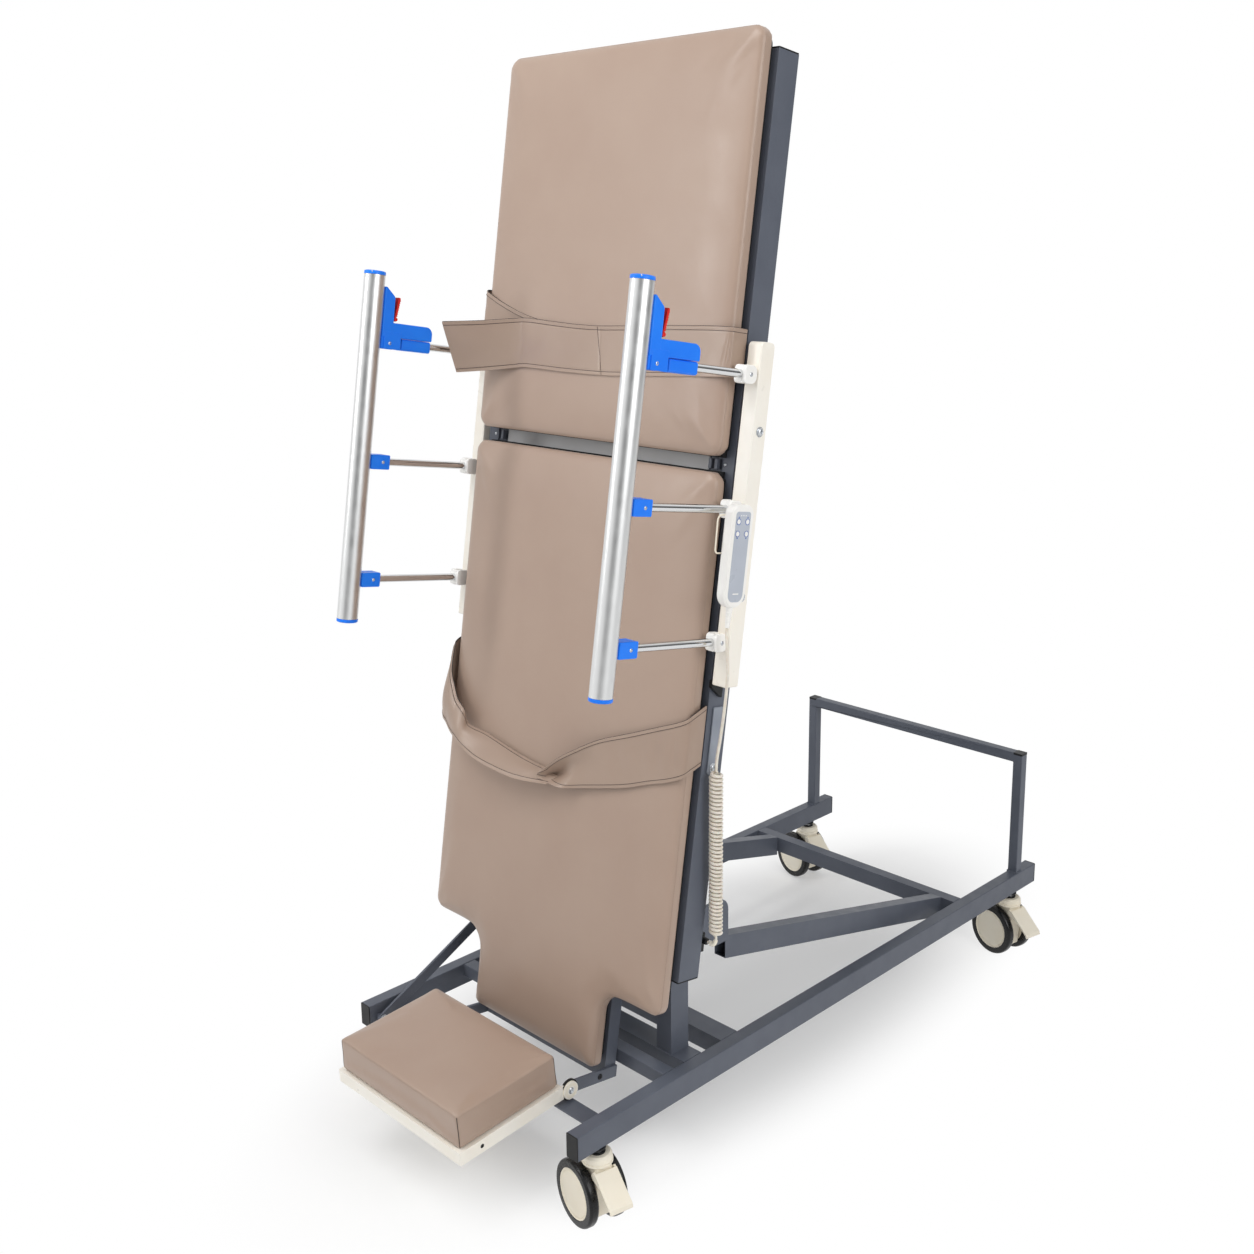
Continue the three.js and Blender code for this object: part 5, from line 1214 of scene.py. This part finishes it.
def upper_outline(shrink, at_gap=27):
    corner, at_gap = 27 - shrink / 2, at_gap - shrink / 2
    return rounded((-PAD_HALF + shrink, PAD_HALF - shrink), (UPPER_LOW + shrink, UPPER_HIGH - shrink),
                   [at_gap, at_gap, corner, corner], 10)


def lower_outline(shrink, at_gap=26):
    """The lower pad with its tongue between the legs of the frame."""
    side, tongue = PAD_HALF - shrink, TONGUE_HALF - shrink
    top, shoulder, bottom = 981 - shrink, -70 + shrink, -235 + shrink
    corner, at_gap, throat = 26 - shrink / 2, at_gap - shrink / 2, 46 + shrink
    return fillet([(-side, top), (-side, shoulder), (-tongue, shoulder), (-tongue, bottom), (tongue, bottom),
                   (tongue, shoulder), (side, shoulder), (side, top)],
                  [at_gap, corner, throat, 12, 12, throat, corner, at_gap], 10)


def foot_outline(shrink):
    return rounded((-190 + shrink, 190 - shrink), (-268 + shrink, -21 - shrink), 5, 5)


Pad = namedtuple("Pad", "outline stands_for where body fill low high welt edge voxel drop reach cap")
BED_PAD = (BED, "bed", 0.85, PAD_BACK, PAD_FRONT, 34, 9, 8, 6.5, 62, 2.6)
FOOT_PAD = (FOOT, "footboard", 0.9, TRAY_TOP + 0.3, TRAY_TOP + 74, 84, 6, 6, 1.0, 30, 2.2)
PADS = {"upper_cushion": Pad(upper_outline, "upper_pad", *BED_PAD),
        "lower_cushion": Pad(lower_outline, "lower_pad", *BED_PAD),
        "footboard_cushion": Pad(foot_outline, "footboard_pad", *FOOT_PAD)}

# %% Blank, crown and cloth
CLOTH_FRAMES = 20
PAD_SLACK = 1.6
PINNED_DEPTH = 6


def to_outline(points, outline):
    """Distance of each point from a closed outline: the least over its edges, with the foot of the
    perpendicular kept between the edge's ends."""
    ahead = np.roll(outline, -1, 0) - outline
    apart = points[:, None] - outline[None]
    share = np.clip((apart * ahead).sum(2) / (ahead * ahead).sum(1), 0, 1)
    return np.linalg.norm(apart - share[..., None] * ahead, axis=2).min(1)


def remeshed(name, shell, voxel):
    """A closed shell as an even grid of small quads, made by the voxel remesh."""
    points, faces = shell
    mesh = bpy.data.meshes.new(name)
    mesh.from_pydata((points * MM).tolist(), [], faces)
    blank = new_object(name, mesh)
    grid = blank.modifiers.new("grid", "REMESH")
    grid.mode = "VOXEL"
    grid.voxel_size = voxel * MM
    even = bpy.data.meshes.new_from_object(evaluated(blank))
    blank.modifiers.clear()
    blank.data = even
    return blank


def evaluated(thing):
    """The object as its modifiers leave it."""
    return thing.evaluated_get(bpy.context.evaluated_depsgraph_get())


def spots_of(mesh):
    """The mesh's points in millimetres."""
    spots = np.empty(len(mesh.vertices) * 3)
    mesh.vertices.foreach_get("co", spots)
    return spots.reshape(-1, 3) / MM


def crown(blank, pad):
    """Lower the front by drop (1 - d / reach) squared, where d is the distance from the outline."""
    spots = spots_of(blank.data)
    depth = np.clip((spots[:, 2] - pad.low) / (pad.high - pad.low), 0, 1)
    near = np.clip(1 - to_outline(spots[:, :2], pad.outline(0)) / pad.reach, 0, 1)
    spots[:, 2] -= pad.drop * near ** 2 * depth
    blank.data.vertices.foreach_set("co", (spots * MM).ravel())
    return spots


def air(blank, pad, spots):
    """Cloth with a little pressure, no gravity, and the back pinned."""
    pinned = blank.vertex_groups.new(name="back")
    pinned.add(np.flatnonzero(spots[:, 2] < pad.low + PINNED_DEPTH).tolist(), 1.0, "REPLACE")
    cloth = blank.modifiers.new("air", "CLOTH")
    cloth.settings.use_pressure = True
    cloth.settings.uniform_pressure_force = 4
    cloth.settings.effector_weights.gravity = 0
    cloth.settings.vertex_group_mass = "back"
    cloth.point_cache.frame_end = CLOTH_FRAMES


def swollen(blank, pad, spots):
    """The points after the cloth: each move of length m is shortened to cap times tanh(m / cap)."""
    moved = spots_of(evaluated(blank).to_mesh()) - spots
    blank.modifiers.clear()
    blank.vertex_groups.clear()
    far = np.linalg.norm(moved, axis=1, keepdims=True) + 1e-9
    return spots + moved / far * pad.cap * np.tanh(far / pad.cap)


cushions, spots_at_rest = {}, {}
for name, pad in PADS.items():
    shell = prism(pad.outline(PAD_SLACK), pad.low, pad.high - PAD_SLACK, pad.edge, 6)
    cushions[name] = remeshed(name, shell, pad.voxel)
    spots_at_rest[name] = crown(cushions[name], pad)
    air(cushions[name], pad, spots_at_rest[name])
for moment in range(1, CLOTH_FRAMES + 1):
    bpy.context.scene.frame_set(moment)
spots_at_rest = {name: swollen(cushions[name], pad, spots_at_rest[name]) for name, pad in PADS.items()}

for name, pad in PADS.items():
    blank, spots = cushions[name], spots_at_rest[name]
    blank.data.vertices.foreach_set("co", world(spots, pad.where).ravel())
    blank.data.shade_smooth()
    blank.data.materials.append(pad_cover)
    finer = blank.modifiers.new("finer", "SUBSURF")
    finer.levels = finer.render_levels = 1
    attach(blank, pad.body)
    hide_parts(pad.stands_for)
    print(name, len(blank.data.vertices), "points, front at", spots[:, 2].max().round(1))
bpy.context.scene.frame_set(1)

# %% Boards behind the bed pads, and the seams along the covers' edges
BOARD_INSET = 14
BOARD_GAP_CORNER = 11
# Size of the dark strip on each board along the gap between the pads, a piece of painted shade.
GAP_SHADE_STRIP_HALF = 332
GAP_SHADE_STRIP_HIGH = 26
SEAM_RADIUS = 0.9
WELT_PITCH = 8


def surface_of(thing):
    """A tree of the finished surface, to find nearest places on it."""
    mesh = evaluated(thing).to_mesh()
    faces = [face.vertices for face in mesh.polygons]
    return BVHTree.FromPolygons([point.co for point in mesh.vertices], faces)


def laid_on(points, tree, where):
    """Move each point of a path to the nearest place on a surface."""
    found = [tree.find_nearest(Vector(point))[0] for point in world(points, where)]
    return (np.array(found) - where.origin) @ where.axes.T / MM


def welt(pad, surface):
    """A seam round the side of a pad, a little below its edge."""
    outline = pad.outline(0)
    closed = np.vstack([outline, outline[:1]])
    whole = run_along(closed)[-1]
    ring = at_runs(closed, np.linspace(0, whole, int(whole / WELT_PITCH) + 1)[:-1])
    path = np.column_stack([ring, np.full(len(ring), pad.welt)])
    return sweep(laid_on(path, surface, pad.where), SEAM_RADIUS, UP, 8, loop=True)


# The boards are black partly as painted shade, and the dark strip along the gap between the pads is put there
# only as painted shade in that gap.
for name, outline, gap_shade_strip_low in (("upper", upper_outline, 1005), ("lower", lower_outline, 953)):
    board = prism(outline(BOARD_INSET, at_gap=BOARD_GAP_CORNER), 0.3, PAD_BACK + 0.2, 0.6)
    gap_shade_strip = slab((-GAP_SHADE_STRIP_HALF, gap_shade_strip_low, 0.6), (GAP_SHADE_STRIP_HALF, gap_shade_strip_low + GAP_SHADE_STRIP_HIGH, PAD_BACK - 0.4),
                  "y", 0.5, 0.4)
    piece(f"{name}_board", [board, gap_shade_strip], BED, gap_shadow, "bed")
surfaces = {name: surface_of(thing) for name, thing in cushions.items()}
for name, pad in PADS.items():
    piece(f"{name}_welt", [welt(pad, surfaces[name])], pad.where, strap_cover, pad.body)
foot = PADS["footboard_cushion"]
seams = []
for x, y in ((-190, -268), (-190, -21), (190, -268), (190, -21)):
    line = [(x, y, height) for height in np.linspace(foot.low + 3, foot.high - 7, 12)]
    seams.append(sweep(laid_on(line, surfaces["footboard_cushion"], FOOT), SEAM_RADIUS, (1, 0, 0), 8))
piece("footboard_cushion_seams", seams, FOOT, seam_thread, "footboard")
print("boards, welts and seams done")

# %% [markdown]
# ## Straps
# Two leatherette straps cross the bed. The chest strap lies flat and ends in a stiff free flap, with its
# tail wrapped round the far edge below it. The knee strap hangs as two loose bands that meet and twist.
# Cloth simulation would erase such narrow bands, so each is a grid between two edge curves: a point is one
# edge plus its share of the way to the other, pushed along the normal by the folds and by the stitched
# hems.

# %% A strap from its two edges
STRAP_THICK = 1.8
HEM_WIDTH = 6.5
HEM_GROOVE = 0.7
HEM_SPREAD = 1.3
STRAP_CREASE = 60
BINDING_RADIUS = 1.15
STRAP_ROWS = 41
STRAP_STEPS = 26
THREAD_RADIUS = 0.55
# Radius of the dark cord of painted shadow under a strap's edge.
PAINTED_SHADOW_RADIUS = 1.3


def strap_grid(first, second, folds):
    """Rows between two edges. Each row is pushed out by the folds, and by grooves where the hems are sewn:
    depth times exp(-(distance from the stitches / 1.3) squared)."""
    edges = through(first, STRAP_STEPS), through(second, STRAP_STEPS)
    across_share = np.linspace(0, 1, STRAP_ROWS)[None, :, None]
    along_share = np.linspace(0, 1, len(edges[0]))[:, None]
    grid = edges[0][:, None] * (1 - across_share) + edges[1][:, None] * across_share
    normal = unit(np.cross(np.gradient(grid, axis=0), np.gradient(grid, axis=1)))
    wide = np.linalg.norm(edges[0] - edges[1], axis=1)[:, None]
    to_edge = np.minimum(across_share[..., 0], 1 - across_share[..., 0]) * wide
    grooves = -HEM_GROOVE * np.exp(-((to_edge - HEM_WIDTH) / HEM_SPREAD) ** 2)
    push = folds(along_share, across_share[..., 0], grid) + grooves
    return grid + normal * push[..., None], normal


def strap_shell(grid, normal):
    """The grid as a closed shell: half the thickness to each side, with its rim joined."""
    upper = grid + normal * STRAP_THICK / 2
    lower = grid - normal * STRAP_THICK / 2
    rows, columns = grid.shape[:2]
    count = rows * columns
    index = np.arange(count).reshape(rows, columns)
    quads = np.stack([index[:-1, :-1], index[1:, :-1], index[1:, 1:], index[:-1, 1:]], -1).reshape(-1, 4)
    rim = np.concatenate([index[0, :-1], index[:-1, -1], index[-1, :0:-1], index[:0:-1, 0]])
    beyond = np.roll(rim, -1)
    wall = np.stack([rim, beyond, beyond + count, rim + count], -1)
    faces = quads.tolist() + (quads[:, ::-1] + count).tolist() + wall.tolist()
    return np.vstack([upper.reshape(-1, 3), lower.reshape(-1, 3)]), faces


def binding(grid):
    """A rolled edge round the strap, which catches a bright line."""
    rim = np.vstack([grid[0, :-1], grid[:-1, -1], grid[-1, :0:-1], grid[:0:-1, 0]])
    keep = np.linalg.norm(rim - np.roll(rim, 1, 0), axis=1) > 0.05
    return sweep(rim[keep], BINDING_RADIUS, (0.1, 0.2, 1), 8, loop=True)


def stitches(grid, normal, face):
    """A thread along each hem, laid in the groove on the strap's outer face."""
    wide = np.linalg.norm(grid[:, 0] - grid[:, -1], axis=1)
    threads = []
    for from_end in (HEM_WIDTH / wide, 1 - HEM_WIDTH / wide):
        place_in_row = from_end * (STRAP_ROWS - 1)
        low = np.clip(place_in_row.astype(int), 0, STRAP_ROWS - 2)
        part = (place_in_row - low)[:, None]
        row = np.arange(len(grid))
        line = grid[row, low] * (1 - part) + grid[row, low + 1] * part
        line = line + face * normal[row, low] * (STRAP_THICK / 2 + 0.15)
        threads.append(sweep(line, THREAD_RADIUS, (0.1, 1, 0.2), 6))
    return threads


def painted_shadow_line(grid, normal, face):
    """A dark cord behind the first edge: painted shadow for the shade gap between the strap and the pad
    beside it.
    """
    line = grid[:, 0] - face * normal[:, 0] * (STRAP_THICK / 2 + 0.2)
    away = unit(grid[:, 0] - grid[:, 1])
    return sweep(line + 0.7 * away, PAINTED_SHADOW_RADIUS, (0.1, 1, 0.2), 8)


def strap(name, first, second, folds, face, stands_for=None):
    """The band, its rolled edge, its threads and a dark cord of painted shadow under its edge, put down as
    one sheet.
    """
    grid, normal = strap_grid(np.array(first, float), np.array(second, float), folds)
    sheet = piece(name, [strap_shell(grid, normal)], BED, strap_cover, "bed", stands_for, STRAP_CREASE)
    edge = piece(f"{name}_binding", [binding(grid)], BED, strap_cover, "bed")
    threads = piece(f"{name}_stitches", stitches(grid, normal, face), BED, seam_thread, "bed")
    dark = piece(f"{name}_piping", [painted_shadow_line(grid, normal, face)], BED, painted_shadow_cord, "bed")
    lengths = [run_along(grid[:, row])[-1] for row in (0, -1)]
    widths = np.linalg.norm(grid[:, 0] - grid[:, -1], axis=1)
    print(name, "edges", np.round(lengths), "mm, width", widths.min().round(), "to", widths.max().round())
    return grid


def dent(along, across_share, at, size, depth):
    """A soft dimple: depth times exp(-(distance / size) squared), in shares of the strap."""
    return depth * np.exp(-(((along - at[0]) / size[0]) ** 2 + ((across_share - at[1]) / size[1]) ** 2))


# %% Chest strap and its tail
SEAM_TOP, SEAM_BOTTOM = 9, 33
CHEST_TOP = [
    [352.6, 1240, 6], [353.2, 1240, 38], [349.6, 1240, 44.5], [340, 1240, 47.6], [312, 1240, 49.6],
    [270, 1239, 50.6], [180, 1236, 51.2], [90, 1232, 51.6], [SEAM_TOP, 1229, 52], [-60, 1230, 52.4],
    [-140, 1234, 52.8], [-196, 1237, 53.4], [-230, 1235, 60], [-294, 1224, 102], [-351, 1214, 155]]
CHEST_BOTTOM = [
    [352.6, 1152, 6], [353.2, 1152, 38], [349.6, 1152, 44.5], [340, 1152, 47.6], [312, 1150, 49.6],
    [270, 1148, 50.6], [180, 1143, 51.2], [90, 1138, 51.6], [SEAM_BOTTOM, 1136, 52], [-60, 1136, 52.4],
    [-140, 1138, 52.8], [-198, 1139, 53.4], [-230, 1135, 56], [-292, 1125, 76], [-351, 1115, 106]]
CHEST_DENTS = (((0.72, 0.42), (0.035, 0.35), 1.0), ((0.80, 0.62), (0.03, 0.3), -1.2),
               ((0.865, 0.5), (0.025, 0.5), -1.0), ((0.93, 0.45), (0.03, 0.45), 1.1))
CHEST_CREASES = ((0.13, 0.010, 0.9), (0.165, 0.012, 1.1), (0.20, 0.012, 0.8), (0.30, 0.03, 0.5))
TAIL_TOP = [[-352.4, 1294, 6], [-353, 1294, 36], [-348, 1290, 44], [-330, 1283, 47.0], [-290, 1268, 49.2],
            [-218, 1246, 50.2], [-120, 1226, 50.4]]
TAIL_BOTTOM = [[-352.4, 1196, 6], [-353, 1196, 36], [-348, 1192, 44], [-330, 1184, 47.0], [-290, 1170, 49.2],
               [-218, 1150, 50.0], [-120, 1142, 50.2]]


def chest_folds(along, across_share, grid):
    """Soft dents on the free part, a small kink where it leaves the pad, diagonal creases on the right."""
    push = 0
    for at, size, depth in CHEST_DENTS:
        push = push + dent(along, across_share, at, size, depth)
    slant = along - 0.05 * across_share
    for at, size, depth in CHEST_CREASES:
        ridge = np.exp(-((slant - at) / size) ** 2)
        push = push + depth * ridge * np.sin(np.pi * across_share) ** 2
    seam = np.exp(-((grid[..., 0] - 22 + 0.12 * (grid[..., 1] - 1185)) / 1.4) ** 2)
    return push - 0.9 * seam


def tail_folds(along, across_share, grid):
    """One soft pull that runs slantwise and fades at both ends."""
    pull = np.exp(-((across_share - 0.15 - 0.5 * along) / 0.12) ** 2)
    return 0.7 * pull * np.sin(np.pi * np.clip(along, 0, 1))


chest = strap("chest_band", CHEST_TOP, CHEST_BOTTOM, chest_folds, 1,
              "chest_strap")
strap("chest_tail", TAIL_TOP, TAIL_BOTTOM, tail_folds, -1)

seam_at = np.abs(chest[:, 0, 0] - SEAM_TOP).argmin(), np.abs(chest[:, -1, 0] - SEAM_BOTTOM).argmin()
seam_share = np.linspace(0, 1, STRAP_ROWS)
seam_rows = np.round(seam_at[0] * (1 - seam_share) + seam_at[1] * seam_share).astype(int)
seam_line = chest[seam_rows, np.arange(STRAP_ROWS)] + np.array([0, 0, STRAP_THICK / 2 + 0.1])
piece("chest_band_cross_seam", [sweep(seam_line, THREAD_RADIUS, (1, 0, 0), 6)], BED, seam_thread, "bed")

# %% Knee strap in two bands
LEFT_TOP = [
    [-352.6, 548, 6], [-353, 536, 36], [-350, 520, 47], [-335, 472, 62], [-310, 440, 70], [-290, 418, 75],
    [-263, 401, 77], [-251, 373, 70], [-200, 362, 58], [-110, 344, 54], [-40, 336, 54], [30, 332, 54]]
LEFT_BOTTOM = [
    [-352.6, 430, 6], [-353.4, 412, 36], [-352, 396, 54], [-338, 372, 72], [-315, 362, 80], [-290, 350, 88],
    [-265, 340, 93], [-230, 327, 98], [-175, 314, 101], [-90, 306, 98], [-40, 307, 93], [20, 314, 84]]
RIGHT_TOP = [
    [0, 335, 84], [45, 370, 86], [90, 400, 78], [140, 430, 65], [214, 460, 58], [280, 487, 54.5],
    [324, 505, 51.5], [346, 517, 46.5], [353.2, 528, 36], [352.8, 542, 6]]
RIGHT_BOTTOM = [
    [-8, 322, 86], [30, 315, 86], [60, 315, 79], [100, 325, 64], [204, 352, 57], [270, 376, 54],
    [316, 392, 51.5], [346, 406, 46.5], [353.2, 416, 36], [352.8, 428, 6]]
RIGHT_WRINKLES = ((0.42, 0.022, 1.8), (0.50, 0.02, 1.3), (0.57, 0.03, 1.6), (0.68, 0.02, 0.9))


def left_folds(along, across_share, grid):
    """The band bellies out, and slanting ripples run over it."""
    belly = 7 * np.sin(np.pi * across_share) * np.sin(np.pi * along) ** 0.5
    ripple = 1.6 * np.sin(2 * np.pi * (3.2 * along + 0.6 * across_share)) * np.sin(np.pi * across_share)
    return -(belly + ripple)


def right_folds(along, across_share, grid):
    """The left end is hollow, and soft upright wrinkles fade out towards the pad's edge."""
    hollow = dent(along, across_share, (0.09, 0.60), (0.15, 0.34), 31)
    wrinkles = 0
    for at, size, depth in RIGHT_WRINKLES:
        slant = along - at - 0.06 * (across_share - 0.5)
        wrinkles = wrinkles + depth * np.exp(-(slant / size) ** 2) * np.sin(np.pi * across_share) ** 1.5
    return hollow * smooth(along / 0.05) + wrinkles


strap("knee_band_left", LEFT_TOP, LEFT_BOTTOM, left_folds, -1,
      "knee_strap")
strap("knee_band_right", RIGHT_TOP, RIGHT_BOTTOM, right_folds, -1)

# %% [markdown]
# ## Floor and light
# The table stands on a pale studio floor under one large soft lamp high in front, a weaker one on the right
# and a tall strip on the left, which draws the long highlight on the pads. The world gives the plain fill,
# and in reflections it has two dark doorways, so that chrome and aluminium show dark bands as in a real
# room. The floor keeps the shadow near the wheels and fades to white.

# %% Floor, world and lamps
FLOOR_HALF = 9.0
SHADOW_MIDDLE = (-0.12, 0.08)
SHADOW_HALF_WIDE, SHADOW_HALF_LONG = 0.52, 1.2
FADE_START, FADE_END = 0.6, 1.12
FLOOR_LEAST = 0.22
FLOOR_LEVEL = -0.0005
centre = (Vector(cad_low) + Vector(cad_high)) / 2
floor_corners = [(centre.x + x * FLOOR_HALF, centre.y + y * FLOOR_HALF, FLOOR_LEVEL)
                 for x, y in ((-1, -1), (1, -1), (1, 1), (-1, 1))]
floor_mesh = bpy.data.meshes.new("studio_floor")
floor_mesh.from_pydata(floor_corners, [], [(0, 1, 2, 3)])
floor = new_object("studio_floor", floor_mesh)

WHITE = (1, 1, 1, 1)
floor_look = start("pale_studio_floor", "#ffffff", 0.7)
tree = floor_look.tree
in_oval = add(tree, "ShaderNodeVectorMath", {
    0: floor_look.spots, 1: (1 / SHADOW_HALF_WIDE, 1 / SHADOW_HALF_LONG, 0)}, operation="MULTIPLY")
from_middle = add(tree, "ShaderNodeVectorMath", {
    0: in_oval.outputs["Vector"],
    1: (SHADOW_MIDDLE[0] / SHADOW_HALF_WIDE, SHADOW_MIDDLE[1] / SHADOW_HALF_LONG, 0)},
    operation="DISTANCE")
fade = add(tree, "ShaderNodeMapRange", {
    "Value": from_middle.outputs["Value"], "From Min": FADE_START, "From Max": FADE_END,
    "To Min": FLOOR_LEAST}, interpolation_type="SMOOTHSTEP")
rays = add(tree, "ShaderNodeLightPath")
seen = add(tree, "ShaderNodeMath", {0: rays.outputs["Is Camera Ray"], 1: rays.outputs["Is Glossy Ray"]},
           operation="MAXIMUM")
white_share = add(tree, "ShaderNodeMath", {0: seen.outputs[0], 1: fade.outputs["Result"]},
                  operation="MULTIPLY")
white = add(tree, "ShaderNodeEmission", {"Color": WHITE, "Strength": 1.0})
mixed = add(tree, "ShaderNodeMixShader", {
    0: white_share.outputs[0], 1: floor_look.shader.outputs["BSDF"], 2: white.outputs["Emission"]})
tree.links.new(mixed.outputs["Shader"], tree.nodes["Material Output"].inputs["Surface"])
floor_mesh.materials.append(floor_look.material)

WORLD_FILL = 0.42
DARK_DOORS = ((0.70, -0.70, 0.0), (0.70, 0.72, 0.0))
DOOR_EDGE, DOOR_MIDDLE, DOOR_DARKNESS = 0.80, 0.97, 0.85
world_look = bpy.data.worlds.new("plain_studio")
world_look.use_nodes = True
sky = world_look.node_tree
ray = add(sky, "ShaderNodeLightPath").outputs
mirror_or_glass = add(sky, "ShaderNodeMath", {0: ray["Is Glossy Ray"], 1: ray["Is Transmission Ray"]},
                      operation="MAXIMUM")
background_seen = add(sky, "ShaderNodeMath", {0: ray["Is Camera Ray"], 1: mirror_or_glass.outputs[0]},
                      operation="MAXIMUM")
level_of_light = add(sky, "ShaderNodeMapRange", {
    "Value": background_seen.outputs[0], "To Min": WORLD_FILL, "To Max": 1.0})
direction = add(sky, "ShaderNodeTexCoord").outputs["Generated"]
near, far = [add(sky, "ShaderNodeVectorMath", {0: direction, 1: door}, operation="DOT_PRODUCT")
             for door in DARK_DOORS]
nearest_door = add(sky, "ShaderNodeMath", {0: near.outputs["Value"], 1: far.outputs["Value"]},
                   operation="MAXIMUM")
dark_share = add(sky, "ShaderNodeMapRange", {
    "Value": nearest_door.outputs[0], "From Min": DOOR_EDGE, "From Max": DOOR_MIDDLE,
    "To Min": 0.0, "To Max": DOOR_DARKNESS})
mirrored = add(sky, "ShaderNodeMath", {0: dark_share.outputs["Result"], 1: ray["Is Glossy Ray"]},
               operation="MULTIPLY")
kept = add(sky, "ShaderNodeMath", {0: 1.0, 1: mirrored.outputs[0]}, operation="SUBTRACT")
strength = add(sky, "ShaderNodeMath", {0: level_of_light.outputs["Result"], 1: kept.outputs[0]},
               operation="MULTIPLY")
backdrop = sky.nodes["Background"]
backdrop.inputs["Color"].default_value = WHITE
sky.links.new(strength.outputs[0], backdrop.inputs["Strength"])
bpy.context.scene.world = world_look
bpy.context.scene.view_settings.view_transform = "Standard"


def softbox(name, at, towards, wide, tall, power):
    """An area lamp that looks at a point."""
    light = bpy.data.lights.new(name, "AREA")
    light.shape = "RECTANGLE"
    light.size, light.size_y = wide, tall
    light.energy = power
    lamp = new_object(name, light)
    lamp.location = at
    lamp.rotation_euler = (Vector(towards) - Vector(at)).to_track_quat("-Z", "Y").to_euler()


softbox("front_softbox", (-0.3, -2.3, 4.4), (0, 0, 1.3), 2.0, 2.0, 62)
softbox("side_softbox", (3.6, -0.4, 2.6), (0, 0, 0.9), 2.0, 2.0, 52)
softbox("strip_softbox", (-2.0, -3.4, 2.8), (0.3, -0.3, 1.85), 0.38, 2.4, 34)
print("floor and lamps ready")
